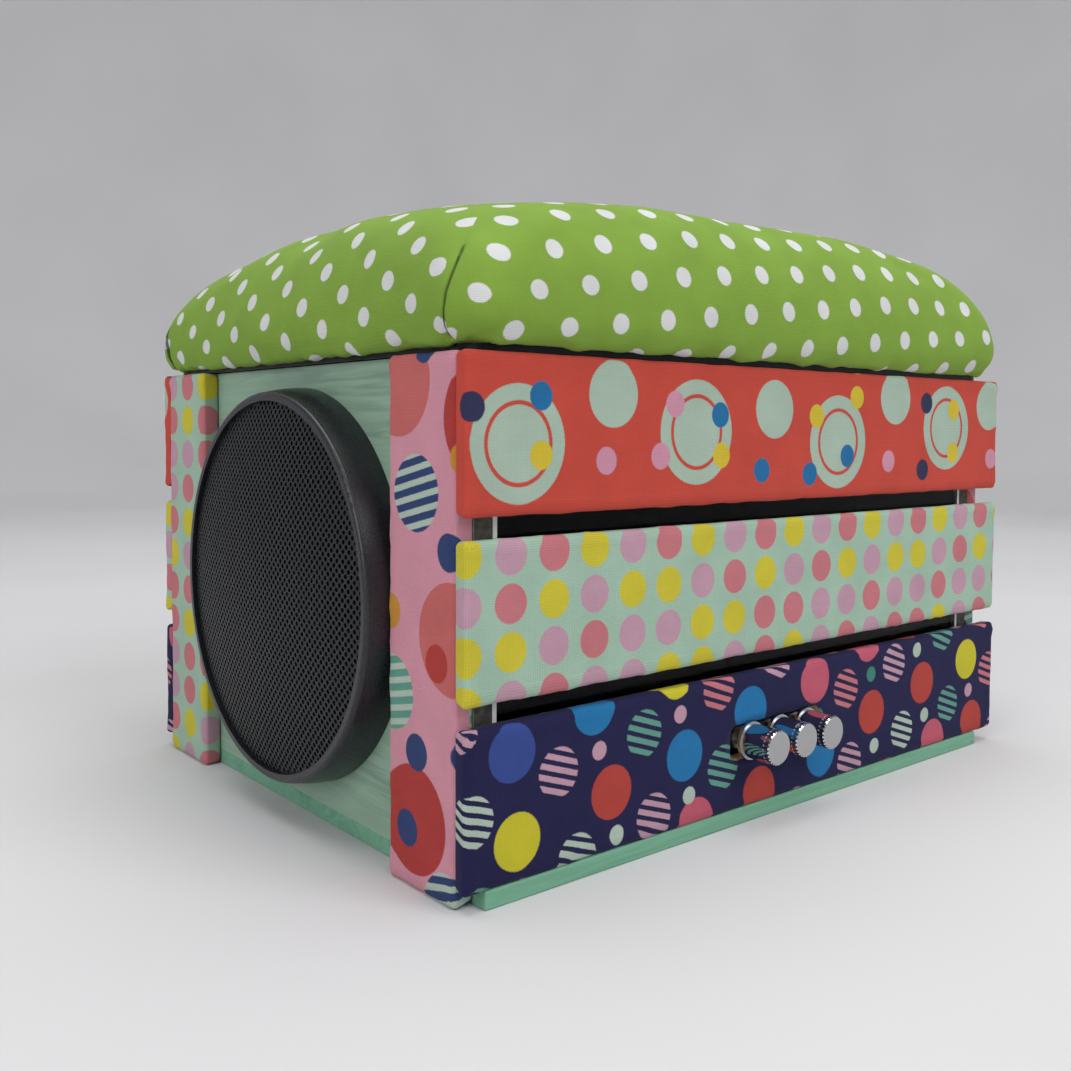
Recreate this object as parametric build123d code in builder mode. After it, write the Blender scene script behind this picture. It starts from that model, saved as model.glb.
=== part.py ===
from build123d import *
import os
from math import asin, cos, pi, radians, sin, tan

# A stereo loudspeaker built into a small slatted crate, with a hinged padded lid.
# Millimetres. X runs along the front, Y to the rear and Z up.
# The origin is the centre of the crate's underside.

# Crate boards
case_length = 327.0
base_depth = 267.0
base_thickness = 7.0
base_round = 0.8
panel_thickness = 8.0
panel_top = 193.3
wrap = 0.6
wood_round = 0.9
wrap_hem = 11.0
slat_length = 350.3
slat_height = 54.7
slat_thickness = 6.0
slat_gap = 8.95
slat_lift = 0.5
post_thickness = 7.2
post_lift = 0.5
post_drop = 0.3
sheet_thickness = 3.0
sheet_drop = 3.3
sheet_clearance = 0.2

# Loudspeakers, measured along their axis from the outer face of the end panel
speaker_height = 99.5
cutout_radius = 66.5
cutout_clearance = 0.5
flange_width = 12.0
flange_thickness = 3.0
basket_wall = 1.5
basket_neck = 12.0
basket_depth = 50.0
basket_back_radius = 36.0
basket_windows = 6
window_angle = 38.0
tag_width = 6.0
tag_depth = 3.0
voice_coil_radius = 12.8
voice_coil_wall = 0.7
magnet_gap = 0.4
top_plate_thickness = 4.0
ferrite_radius = 40.0
ferrite_thickness = 14.0
ferrite_gap = 2.0
yoke_thickness = 5.0
cone_rim = 4.0
cone_wall = 0.8
cone_depth = 36.0
roll_width = 8.0
roll_wall = 0.8
roll_seat = 0.1
surround_rim = 5.0
spider_drop = 3.0
spider_waves = 4
spider_rim = 3.5
spider_rise = 1.75
spider_wall = 0.6
tweeter_radius = 17.0
tweeter_depth = 10.0
tweeter_front = 4.0
tweeter_stem_radius = 3.5
tweeter_dome_radius = 10.0
tweeter_dome_height = 3.0
ring_foot = 5.7
ring_height = 17.0
ring_lip = 2.0
ring_wall = 1.8
ring_taper = 2.0
ring_bulge = 0.3
ring_seat_clearance = 0.5
ring_post_clearance = 0.3
mesh_thickness = 0.8
mesh_rise = 6.0
mesh_edge_clearance = 0.5
speaker_screw_edge = 4.0
speaker_screw_radius = 1.6
speaker_screw_clearance = 0.05
speaker_screw_head = 3.2
speaker_screw_length = 9.0
speaker_screw_count = 4
screw_head_height = 2.0

# Amplifier, its three controls and the power parts
knob_offset = -5.0
knob_pitch = 18.7
knob_radius = 7.35
knob_skirt_radius = 8.1
knob_skirt_length = 1.6
knob_length = 15.7
knob_stand_off = 0.5
knob_face_chamfer = 0.5
knob_flutes = 26
knob_flute_radius = 0.45
knob_flute_length = 3.0
shaft_radius = 3.0
shaft_clearance = 0.05
shaft_engagement = 11.5
shaft_tail = 4.0
bush_radius = 3.4
bush_clearance = 0.1
bush_length = 7.0
nut_across_flats = 9.0
nut_thickness = 2.0
pot_width = 14.0
pot_depth = 10.0
pot_height = 13.0
slot_end_margin = 12.0
slot_height = 15.0
slot_corner = 4.0
board_length = 92.0
board_depth = 58.0
board_thickness = 1.6
board_gap = 0.8
stand_off_radius = 2.5
stand_off_inset = 6.0
terminal_length = 10.0
terminal_depth = 9.0
terminal_height = 10.0
speaker_terminal_offset = 30.0
power_terminal_offset = 9.0
heatsink_length = 40.0
heatsink_depth = 14.0
heatsink_height = 22.0
heatsink_floor = 4.4
heatsink_gap = 3.3
heatsink_fins = 6
heatsink_fin_depth = 15.0
capacitor_radius = 5.0
capacitor_height = 13.0
capacitor_gap = 5.0
capacitor_pitch = 12.0
battery_length = 72.0
battery_depth = 58.0
battery_height = 20.0
battery_round = 8.0
battery_offset = 49.0
inlet_offset = 60.0
inlet_barrel_radius = 5.5
inlet_flange_radius = 7.0
inlet_flange_thickness = 2.0
inlet_barrel_length = 15.5
inlet_bore_radius = 2.8
inlet_bore_depth = 11.0
inlet_pin_radius = 1.0
inlet_pin_recess = 1.0
inlet_nut_across_flats = 14.0
lead_radius = 1.2
lead_clearance = 0.2
lead_bend_share = 0.45

# Padded lid
lid_end_overhang = 10.0
lid_side_overhang = 5.5
lid_gap = 0.4
lining_thickness = 2.5
lining_inset = 7.0
lid_crown = 260.0
cover_thickness = 0.8
cover_hem = 22.0
lid_board_thickness = 8.0
lid_board_inset = 7.2
lid_board_corner = 12.0
lid_flat_depth = 66.0
lid_crown_step = 30.0

# Hinges
hinge_spacing = 200.0
leaf_length = 38.0
leaf_width = 22.0
leaf_thickness = 1.2
knuckle_radius = 2.2
knuckle_length = 12.0
knuckle_clearance = 0.15
hinge_stand_off = 0.3
pin_radius = 1.1
pin_clearance = 0.05
notch_margin = 1.0
hinge_screw_radius = 1.4
hinge_screw_head = 2.4
hinge_screw_sink = 1.0
hinge_screw_length = 6.5
hinge_screw_spacing = 24.0

# Places worked out from the sizes above
slat_full_height = slat_height + 2 * wrap
slat_full_thickness = slat_thickness + 2 * wrap
post_full_thickness = post_thickness + 2 * wrap
panel_outer_x = case_length / 2
panel_inner_x = panel_outer_x - panel_thickness
post_outer_x = panel_outer_x + post_full_thickness
slat_left_x = -post_outer_x
slat_right_x = slat_left_x + slat_length + 2 * wrap
slat_front_y = -base_depth / 2
panel_front_y = slat_front_y + slat_full_thickness
slat_bottoms = [base_thickness + slat_lift + row * (slat_full_height + slat_gap) for row in range(3)]
knob_z = slat_bottoms[0] + slat_full_height / 2
knob_xs = [knob_offset + step * knob_pitch for step in (-1, 0, 1)]
window_back_y = panel_front_y + sheet_thickness
board_top_z = knob_z - pot_height / 2
board_front_y = window_back_y + board_gap
board_rear_y = board_front_y + board_depth
lid_length = case_length + 2 * lid_end_overhang
lid_depth = base_depth + 2 * lid_side_overhang
lining_bottom_z = panel_top + lid_gap
hem_bottom_z = lining_bottom_z + lining_thickness
board_bottom_z = hem_bottom_z + cover_thickness
hinge_y = base_depth / 2 + knuckle_radius + hinge_stand_off
hinge_z = hem_bottom_z - knuckle_radius
hinge_xs = [-hinge_spacing / 2, hinge_spacing / 2]
pole_radius = voice_coil_radius - magnet_gap
plate_bore_radius = voice_coil_radius + voice_coil_wall + magnet_gap
neck_radius = cutout_radius - cutout_clearance
flange_radius = cutout_radius + flange_width
speaker_screw_circle = flange_radius - speaker_screw_edge
roll_outer = neck_radius - basket_wall + roll_seat
roll_inner = roll_outer - roll_width
cone_radius = roll_inner + roll_wall / 2
spider_depth = cone_depth - flange_thickness + spider_drop
ring_foot_radius = flange_radius + ring_seat_clearance
ring_radius = ring_foot_radius + ring_foot
mesh_edge_radius = ring_radius - ring_taper - ring_wall - mesh_edge_clearance
ring_lip_radius = ring_radius - ring_taper - ring_wall - ring_lip
post_inner_y = ring_radius + ring_post_clearance

os.makedirs("parts", exist_ok=True)


def save(builder, name):
    """Label a finished piece and write it."""
    builder.part.label = name
    export_step(builder.part, f"parts/{name}.step")


def block(x, y, z, mode=Mode.ADD):
    """A box between two bounds on each axis, in the piece being made."""
    with Locations(((x[0] + x[1]) / 2, (y[0] + y[1]) / 2, (z[0] + z[1]) / 2)):
        Box(x[1] - x[0], y[1] - y[0], z[1] - z[0], mode=mode)


def rod(plane, radius, length, mode=Mode.ADD):
    """A round bar that starts on a plane and runs along its normal."""
    with BuildSketch(plane) as section:
        Circle(radius)
    extrude(section.sketch, amount=length, mode=mode)


def facing_front(x, y, z):
    """A plane that looks forwards, with its local x along X and its local y upwards."""
    return Plane((x, y, z), x_dir=(1, 0, 0), z_dir=(0, -1, 0))


def dome_middle(radius, rise):
    """The point halfway along a dome's arc, as its radius and its drop below the crown."""
    sphere = (radius ** 2 + rise ** 2) / (2 * rise)
    half_angle = asin(radius / sphere) / 2
    return (sphere * sin(half_angle), sphere * (1 - cos(half_angle)))


def inset(bounds, amount):
    """Two bounds drawn in by the same amount."""
    return (bounds[0] + amount, bounds[1] - amount)


def wrapped_board(name, x, y, z, hidden, cut=None):
    """A board and its fabric, which turns round every edge and ends in a hem on the hidden side.

    The bounds are those of the wrapped board. hidden is the axis and the sign of the hidden side.
    """
    with BuildPart() as wood:
        block(inset(x, wrap), inset(y, wrap), inset(z, wrap))
        fillet(wood.edges(), wood_round)
        if cut:
            cut()
    with BuildPart() as cover:
        block(x, y, z)
        fillet(cover.edges(), wood_round + wrap)
        add(wood.part, mode=Mode.SUBTRACT)
        opening = [inset(x, wrap_hem), inset(y, wrap_hem), inset(z, wrap_hem)]
        axis, sign = hidden
        bounds = (x, y, z)[axis]
        face = bounds[1] if sign > 0 else bounds[0]
        opening[axis] = tuple(sorted((face, face - sign * (wrap + wood_round))))
        block(*opening, mode=Mode.SUBTRACT)
        if cut:
            cut()
    save(wood, name)
    save(cover, f"{name}_cover")


def cut_knob_slot():
    """The rounded slot that the three knobs reach out of."""
    with BuildSketch(facing_front(knob_offset, panel_front_y, knob_z)) as slot:
        RectangleRounded(2 * (knob_pitch + slot_end_margin), slot_height, slot_corner)
    extrude(slot.sketch, amount=slat_full_thickness, mode=Mode.SUBTRACT)


def cut_inlet_hole():
    """The hole for the power inlet, through the rear wall."""
    rod(facing_front(inlet_offset, base_depth / 2, knob_z), inlet_barrel_radius,
        slat_full_thickness + sheet_thickness, mode=Mode.SUBTRACT)


def case_screw_planes():
    """Where the screws of the crate's hinge leaves enter, looking forwards."""
    height = hinge_z - leaf_width / 2
    places = [(x + side * hinge_screw_spacing / 2, height) for x in hinge_xs for side in (-1, 1)]
    start = base_depth / 2 + leaf_thickness
    return [facing_front(x, start, z) for x, z in places]


def lid_screw_planes():
    """Where the screws of the lid's hinge leaves enter, looking up."""
    depth = hinge_y - leaf_width / 2 - knuckle_radius
    places = [(x + side * hinge_screw_spacing / 2, depth) for x in hinge_xs for side in (-1, 1)]
    start = hem_bottom_z - leaf_thickness
    return [Plane((x, y, start)) for x, y in places]


def cut_screw_holes(planes, radius):
    """Holes for the shanks of hinge screws."""
    for plane in planes:
        rod(plane, radius, hinge_screw_length, mode=Mode.SUBTRACT)


def make_base():
    """The floor of the crate, which carries everything."""
    with BuildPart() as base_board:
        block((-panel_outer_x, panel_outer_x), (-base_depth / 2, base_depth / 2), (0, base_thickness))
        fillet(base_board.edges(), base_round)
    save(base_board, "base_board")


def make_end_panels():
    """An end panel at each side, with a round hole and pilot holes for its loudspeaker."""
    for side, name in ((-1, "left"), (1, "right")):
        with BuildPart() as panel:
            block(tuple(sorted((side * panel_inner_x, side * panel_outer_x))),
                  (panel_front_y, -panel_front_y), (base_thickness, panel_top))
            outer = speaker_plane(side)
            rod(Plane(outer.origin, z_dir=-outer.y_dir), cutout_radius, panel_thickness, mode=Mode.SUBTRACT)
            for plane in speaker_screw_planes(side):
                rod(plane, speaker_screw_radius, speaker_screw_length, mode=Mode.SUBTRACT)
        save(panel, f"{name}_end_panel")


def make_posts():
    """Four wrapped posts on the outer faces of the end panels."""
    for side, side_name in ((-1, "left"), (1, "right")):
        for end, end_name in ((-1, "front"), (1, "rear")):
            x = tuple(sorted((side * panel_outer_x, side * post_outer_x)))
            y = tuple(sorted((-end * panel_front_y, end * post_inner_y)))
            height = (post_lift, panel_top - post_drop)
            wrapped_board(f"{end_name}_{side_name}_post", x, y, height, (0, -side))


def make_slats():
    """Three wrapped slats across the front and three across the rear."""
    cuts = {
        ("front", "bottom"): cut_knob_slot,
        ("rear", "bottom"): cut_inlet_hole,
        ("rear", "top"): lambda: cut_screw_holes(case_screw_planes(), hinge_screw_radius),
    }
    for end, end_name in ((-1, "front"), (1, "rear")):
        for bottom, row in zip(slat_bottoms, ("bottom", "middle", "top")):
            y = tuple(sorted((-end * panel_front_y, -end * slat_front_y)))
            wrapped_board(f"{end_name}_{row}_slat", (slat_left_x, slat_right_x), y,
                          (bottom, bottom + slat_full_height), (1, -end), cuts.get((end_name, row)))


def make_sheets():
    """The clear sheet behind the front slats and the black board inside the rear ones."""
    span = panel_inner_x - sheet_clearance
    height = (base_thickness, panel_top - sheet_drop)
    with BuildPart() as front_window:
        block((-span, span), (panel_front_y, window_back_y), height)
        for x in knob_xs:
            rod(facing_front(x, window_back_y, knob_z), bush_radius + bush_clearance, sheet_thickness,
                mode=Mode.SUBTRACT)
    save(front_window, "front_window")
    with BuildPart() as rear_panel:
        block((-span, span), (-window_back_y, -panel_front_y), height)
        cut_inlet_hole()
    save(rear_panel, "rear_panel")


def speaker_plane(side):
    """Local x is the radius and local y runs out along the loudspeaker's axis."""
    return Plane((side * panel_outer_x, 0, speaker_height), x_dir=(0, 1, 0), z_dir=(0, 0, -side))


def speaker_screw_planes(side):
    """Where the screws enter the flange, spread round the loudspeaker."""
    planes = []
    for count in range(speaker_screw_count):
        angle = pi * (2 * count + 1) / speaker_screw_count
        place = (side * (panel_outer_x + flange_thickness),
                 speaker_screw_circle * cos(angle),
                 speaker_height + speaker_screw_circle * sin(angle))
        planes.append(Plane(place, z_dir=(-side, 0, 0)))
    return planes


def turned(side, outline, mode=Mode.ADD):
    """A ring or disc turned about the loudspeaker's axis from its outline of radius and depth."""
    plane = speaker_plane(side)
    with BuildSketch(plane) as section:
        with BuildLine():
            Polyline(*outline, close=True)
        make_face()
    revolve(section.sketch, axis=Axis(plane.origin, plane.y_dir), mode=mode)


def basket_inner_radius(depth):
    """Inner radius of the basket's slope at a depth behind the panel's face."""
    share = (depth - basket_neck) / (basket_depth - basket_wall - basket_neck)
    top = neck_radius - basket_wall
    return top + share * (basket_back_radius - basket_wall - top)


def basket_opening(side):
    """One window of the basket's slope, as the piece to cut away."""
    plane = speaker_plane(side)
    lower = spider_depth - 2 * basket_wall
    upper = basket_neck + basket_wall
    reach = 2 * cutout_radius
    half = reach * tan(radians(window_angle / 2))
    with BuildPart() as opening:
        turned(side, [(basket_inner_radius(lower) - basket_wall, -lower), (cutout_radius, -lower),
                      (cutout_radius, -upper), (basket_inner_radius(upper) - basket_wall, -upper)])
        with BuildSketch(Plane(plane.origin, x_dir=(0, 0, 1), z_dir=-plane.y_dir)):
            with BuildLine():
                Polyline((0, 0), (reach, half), (reach, -half), close=True)
            make_face()
        extrude(amount=basket_depth, mode=Mode.INTERSECT)
    return opening.part


def make_basket(side, name):
    """The pressed basket: flange, neck, slope with openings, back plate and terminal tag."""
    neck_inner = neck_radius - basket_wall
    back_inner = basket_back_radius - basket_wall
    floor = -basket_depth + basket_wall
    ledge_radius = basket_inner_radius(spider_depth)
    opening = basket_opening(side)
    axis = Axis(speaker_plane(side).origin, speaker_plane(side).y_dir)
    with BuildPart() as basket:
        turned(side, [(neck_inner, flange_thickness), (flange_radius, flange_thickness), (flange_radius, 0),
                      (neck_radius, 0), (neck_radius, -basket_neck), (basket_back_radius, -basket_depth),
                      (plate_bore_radius, -basket_depth), (plate_bore_radius, floor), (back_inner, floor),
                      (neck_inner, -basket_neck)])
        for count in range(basket_windows):
            turn = (count + 0.5) * 360 / basket_windows
            add(opening.rotate(axis, turn), mode=Mode.SUBTRACT)
        turned(side, [(ledge_radius - spider_rim, -spider_depth),
                      (ledge_radius + basket_wall / 2, -spider_depth),
                      (basket_inner_radius(spider_depth + basket_wall) + basket_wall / 2,
                       -spider_depth - basket_wall),
                      (ledge_radius - spider_rim, -spider_depth - basket_wall)])
        tag_x = sorted((side * (panel_outer_x - basket_depth), side * (panel_outer_x + floor)))
        tag_top = speaker_height - basket_back_radius
        block(tuple(tag_x), (-tag_width / 2, tag_width / 2), (tag_top - tag_depth, tag_top + basket_wall))
        for plane in speaker_screw_planes(side):
            rod(plane, speaker_screw_radius + speaker_screw_clearance, flange_thickness, mode=Mode.SUBTRACT)
    save(basket, f"{name}_speaker_basket")


def make_magnet(side, name):
    """The magnet system: top plate, ferrite ring, and a yoke with its pole piece."""
    plate_back = -basket_depth - top_plate_thickness
    ferrite_back = plate_back - ferrite_thickness
    yoke_back = ferrite_back - yoke_thickness
    ferrite_bore = plate_bore_radius + ferrite_gap
    with BuildPart() as magnet:
        turned(side, [(plate_bore_radius, -basket_depth), (basket_back_radius, -basket_depth),
                      (basket_back_radius, plate_back), (plate_bore_radius, plate_back)])
        turned(side, [(ferrite_bore, plate_back), (ferrite_radius, plate_back),
                      (ferrite_radius, ferrite_back), (ferrite_bore, ferrite_back)])
        turned(side, [(0, -basket_depth), (pole_radius, -basket_depth), (pole_radius, ferrite_back),
                      (basket_back_radius, ferrite_back), (basket_back_radius, yoke_back), (0, yoke_back)])
    save(magnet, f"{name}_magnet")


def make_cone(side, name):
    """The moving paper cone with its voice coil former."""
    coil_outer = voice_coil_radius + voice_coil_wall
    coil_end = -basket_depth - top_plate_thickness - cone_rim
    neck = -cone_depth + flange_thickness
    rim = flange_thickness - cone_wall
    with BuildPart() as cone:
        turned(side, [(voice_coil_radius, coil_end), (coil_outer, coil_end), (coil_outer, neck - cone_wall),
                      (cone_radius - cone_rim, rim), (cone_radius, rim), (cone_radius, flange_thickness),
                      (cone_radius - cone_rim - cone_wall, flange_thickness), (voice_coil_radius, neck)])
    save(cone, f"{name}_cone")


def make_suspension(side, name):
    """The rubber surround with its half roll, and the corrugated spider."""
    plane = speaker_plane(side)
    axis = Axis(plane.origin, plane.y_dir)
    middle = (roll_inner + roll_outer) / 2
    low = flange_thickness
    high = flange_thickness + roll_wall
    rise = roll_width / 2
    coil_outer = voice_coil_radius + voice_coil_wall
    outer = basket_inner_radius(spider_depth)
    with BuildPart() as suspension:
        with BuildSketch(plane):
            with BuildLine():
                Line((cone_radius - cone_rim, low), (roll_inner, low))
                ThreePointArc((roll_inner, low), (middle, low + rise), (roll_outer, low))
                Line((roll_outer, low), (roll_outer + surround_rim, low))
                Line((roll_outer + surround_rim, low), (roll_outer + surround_rim, high))
                Line((roll_outer + surround_rim, high), (roll_outer + roll_wall, high))
                ThreePointArc((roll_outer + roll_wall, high), (middle, high + rise),
                              (roll_inner - roll_wall, high))
                Line((roll_inner - roll_wall, high), (cone_radius - cone_rim, high))
                Line((cone_radius - cone_rim, high), (cone_radius - cone_rim, low))
            make_face()
        revolve(axis=axis)
        lower = [(coil_outer, -spider_depth)]
        span = outer - spider_rim - coil_outer
        pitch = span / spider_waves
        for wave in range(spider_waves):
            start = coil_outer + pitch * wave
            lower.append((start + pitch / 4, -spider_depth + spider_rise))
            lower.append((start + 3 * pitch / 4, -spider_depth))
        lower.append((outer - spider_rim, -spider_depth))
        lower.append((outer - spider_wall, -spider_depth))
        upper = [(radius, depth + spider_wall) for radius, depth in reversed(lower)]
        turned(side, lower + upper)
    save(suspension, f"{name}_suspension")


def make_tweeter(side, name):
    """The small treble unit on a stem from the pole piece, in front of the cone."""
    back = -tweeter_front - tweeter_depth
    rim = -tweeter_front - basket_wall
    crown = rim + tweeter_dome_height
    middle, drop = dome_middle(tweeter_dome_radius, tweeter_dome_height)
    plane = speaker_plane(side)
    with BuildPart() as tweeter:
        with BuildSketch(plane):
            with BuildLine():
                Polyline((0, crown), (0, -basket_depth), (tweeter_stem_radius, -basket_depth),
                         (tweeter_stem_radius, back - basket_wall), (tweeter_radius, back),
                         (tweeter_radius, -tweeter_front), (tweeter_dome_radius, rim))
                ThreePointArc((tweeter_dome_radius, rim), (middle, crown - drop), (0, crown))
            make_face()
        revolve(axis=Axis(plane.origin, plane.y_dir))
    save(tweeter, f"{name}_tweeter")


def make_grille(side, name):
    """The round cover ring, deep and drawn in, and the domed mesh that it holds."""
    plane = speaker_plane(side)
    axis = Axis(plane.origin, plane.y_dir)
    shoulder = ring_radius - ring_taper
    inner = ring_radius - ring_wall
    lip_under = ring_height - ring_wall
    inner_shoulder = shoulder - ring_wall
    diagonal = ring_wall * cos(pi / 4)
    with BuildPart() as ring:
        with BuildSketch(plane):
            with BuildLine():
                Polyline((ring_foot_radius, 0), (ring_radius, 0), (ring_radius, ring_wall))
                ThreePointArc((ring_radius, ring_wall),
                              (ring_radius - ring_taper / 2 + ring_bulge, ring_height / 2),
                              (shoulder, lip_under))
                ThreePointArc((shoulder, lip_under),
                              (inner_shoulder + diagonal, lip_under + diagonal),
                              (inner_shoulder, ring_height))
                Polyline((inner_shoulder, ring_height), (ring_lip_radius, ring_height),
                         (ring_lip_radius, lip_under), (inner_shoulder, lip_under))
                ThreePointArc((inner_shoulder, lip_under),
                              (inner - ring_taper / 2 + ring_bulge, (ring_height + ring_wall) / 2),
                              (inner, 2 * ring_wall))
                Polyline((inner, 2 * ring_wall), (inner, ring_wall), (ring_foot_radius, ring_wall),
                         (ring_foot_radius, 0))
            make_face()
        revolve(axis=axis)
    save(ring, f"{name}_grille_ring")
    top = lip_under - mesh_edge_clearance
    crown = top + mesh_rise
    middle, drop = dome_middle(mesh_edge_radius, mesh_rise)
    with BuildPart() as mesh:
        with BuildSketch(plane):
            with BuildLine():
                Line((0, crown - mesh_thickness), (0, crown))
                ThreePointArc((0, crown), (middle, crown - drop), (mesh_edge_radius, top))
                Line((mesh_edge_radius, top), (mesh_edge_radius, top - mesh_thickness))
                ThreePointArc((mesh_edge_radius, top - mesh_thickness),
                              (middle, crown - drop - mesh_thickness),
                              (0, crown - mesh_thickness))
            make_face()
        revolve(axis=axis)
    save(mesh, f"{name}_grille_mesh")


def make_case_screws():
    """Screws in the loudspeakers' flanges and in the crate's hinge leaves."""
    with BuildPart() as screws:
        for side in (-1, 1):
            for plane in speaker_screw_planes(side):
                rod(plane, speaker_screw_radius, speaker_screw_length)
                rod(Plane(plane.origin, z_dir=-plane.z_dir), speaker_screw_head, screw_head_height)
        for plane in case_screw_planes():
            countersunk_screw(plane)
    save(screws, "case_screws")


def countersunk_screw(plane):
    """A small wood screw whose head fills its countersink."""
    rod(plane, hinge_screw_radius, hinge_screw_length)
    countersink(plane, Mode.ADD)


def countersink(plane, mode):
    """The cone of a countersunk head, from its face down to the shank."""
    with BuildSketch(plane) as face:
        Circle(hinge_screw_head)
    with BuildSketch(plane.offset(hinge_screw_sink)) as throat:
        Circle(hinge_screw_radius)
    loft([face.sketch.face(), throat.sketch.face()], mode=mode)


def sink_holes(planes):
    """Countersunk holes through a hinge leaf."""
    for plane in planes:
        rod(plane, hinge_screw_radius, leaf_thickness, mode=Mode.SUBTRACT)
        countersink(plane, Mode.SUBTRACT)


def make_controls():
    """Potentiometers clamped in the window by nuts, their shafts, and a fluted knob on each."""
    shaft_back = window_back_y + shaft_tail
    knob_rear = slat_front_y - knob_stand_off
    knob_face = knob_rear - knob_length
    shaft_front = knob_rear - shaft_engagement
    with BuildPart() as pots:
        for x in knob_xs:
            block((x - pot_width / 2, x + pot_width / 2), (window_back_y, window_back_y + pot_depth),
                  (knob_z - pot_height / 2, knob_z + pot_height / 2))
            rod(facing_front(x, window_back_y, knob_z), bush_radius, bush_length)
            rod(facing_front(x, shaft_back, knob_z), shaft_radius + shaft_clearance,
                shaft_tail + bush_length, mode=Mode.SUBTRACT)
    nuts = []
    for x in knob_xs:
        with BuildPart() as nut:
            with BuildSketch(facing_front(x, panel_front_y, knob_z)):
                RegularPolygon(nut_across_flats / 2, 6, major_radius=False)
                Circle(bush_radius, mode=Mode.SUBTRACT)
            extrude(amount=nut_thickness)
        nuts.append(nut.part)
    pots.part = Compound(children=[*pots.part.solids(), *[nut.solid() for nut in nuts]])
    save(pots, "potentiometers")
    for x, name in zip(knob_xs, ("volume", "bass", "treble")):
        with BuildPart() as shaft:
            rod(facing_front(x, shaft_back, knob_z), shaft_radius, shaft_back - shaft_front)
        save(shaft, f"{name}_shaft")
        with BuildPart() as knob:
            rod(facing_front(x, knob_rear, knob_z), knob_skirt_radius, knob_skirt_length)
            rod(facing_front(x, knob_rear, knob_z), knob_radius, knob_length)
            chamfer(knob.edges().filter_by(GeomType.CIRCLE).sort_by(Axis.Y)[0], knob_face_chamfer)
            with BuildSketch(facing_front(x, knob_face + knob_flute_length, knob_z)):
                with PolarLocations(knob_radius, knob_flutes):
                    Circle(knob_flute_radius)
            extrude(amount=knob_flute_length, mode=Mode.SUBTRACT)
            rod(facing_front(x, knob_rear, knob_z), shaft_radius, shaft_engagement, mode=Mode.SUBTRACT)
        save(knob, f"{name}_knob")


def terminal_xs():
    """Middles of the four terminal blocks: a speaker at each end, battery and inlet between."""
    return {
        "left": knob_offset - speaker_terminal_offset,
        "battery": knob_offset - power_terminal_offset,
        "inlet": knob_offset + power_terminal_offset,
        "right": knob_offset + speaker_terminal_offset,
    }


def make_amplifier():
    """The amplifier's circuit board, and what stands on it and under it."""
    x = (knob_offset - board_length / 2, knob_offset + board_length / 2)
    y = (board_front_y, board_rear_y)
    bottom = board_top_z - board_thickness
    with BuildPart() as board:
        block(x, y, (bottom, board_top_z))
    save(board, "amplifier_board")
    with BuildPart() as parts:
        for corner in (x[0] + stand_off_inset, x[1] - stand_off_inset):
            rod(Plane((corner, y[1] - stand_off_inset, base_thickness)), stand_off_radius,
                bottom - base_thickness)
        for middle in terminal_xs().values():
            block((middle - terminal_length / 2, middle + terminal_length / 2), (y[1] - terminal_depth, y[1]),
                  (board_top_z, board_top_z + terminal_height))
        sink_y = y[1] - terminal_depth - heatsink_fin_depth
        sink_x = (knob_offset - heatsink_length / 2, knob_offset + heatsink_length / 2)
        block(sink_x, (sink_y - heatsink_depth / 2, sink_y + heatsink_depth / 2),
              (board_top_z, board_top_z + heatsink_height))
        pitch = heatsink_length / heatsink_fins
        for gap in range(1, heatsink_fins):
            middle = sink_x[0] + gap * pitch
            block((middle - heatsink_gap / 2, middle + heatsink_gap / 2),
                  (sink_y - heatsink_depth / 2, sink_y + heatsink_depth / 2),
                  (board_top_z + heatsink_floor, board_top_z + heatsink_height), mode=Mode.SUBTRACT)
        for side in (-1, 1):
            for row in (0, 1):
                place = (knob_offset + side * (heatsink_length / 2 + capacitor_gap + capacitor_radius),
                         sink_y + capacitor_radius - row * capacitor_pitch, board_top_z)
                rod(Plane(place), capacitor_radius, capacitor_height)
    save(parts, "amplifier_parts")


def make_battery():
    """A wrapped pack of three cells on the base board."""
    with BuildPart() as battery:
        block((-battery_length / 2, battery_length / 2),
              (battery_offset - battery_depth / 2, battery_offset + battery_depth / 2),
              (base_thickness, base_thickness + battery_height))
        fillet(battery.edges().filter_by(Axis.X).group_by(Axis.Z)[-1], battery_round)
    save(battery, "battery_pack")


def make_inlet():
    """The round power inlet in the rear wall, with its centre pin and nut."""
    wall = base_depth / 2
    mouth = wall + inlet_flange_thickness
    nut_face = wall - slat_full_thickness - sheet_thickness
    with BuildPart() as inlet:
        rod(facing_front(inlet_offset, wall, knob_z), inlet_barrel_radius, inlet_barrel_length)
        rod(facing_front(inlet_offset, mouth, knob_z), inlet_flange_radius, inlet_flange_thickness)
        rod(facing_front(inlet_offset, mouth, knob_z), inlet_bore_radius, inlet_bore_depth,
            mode=Mode.SUBTRACT)
        rod(facing_front(inlet_offset, mouth - inlet_pin_recess, knob_z), inlet_pin_radius,
            inlet_bore_depth - inlet_pin_recess)
    with BuildPart() as nut:
        with BuildSketch(facing_front(inlet_offset, nut_face, knob_z)):
            RegularPolygon(inlet_nut_across_flats / 2, 6, major_radius=False)
            Circle(inlet_barrel_radius, mode=Mode.SUBTRACT)
        extrude(amount=nut_thickness)
    inlet.part = Compound(children=[inlet.solid(), nut.solid()])
    save(inlet, "power_inlet")


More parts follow.
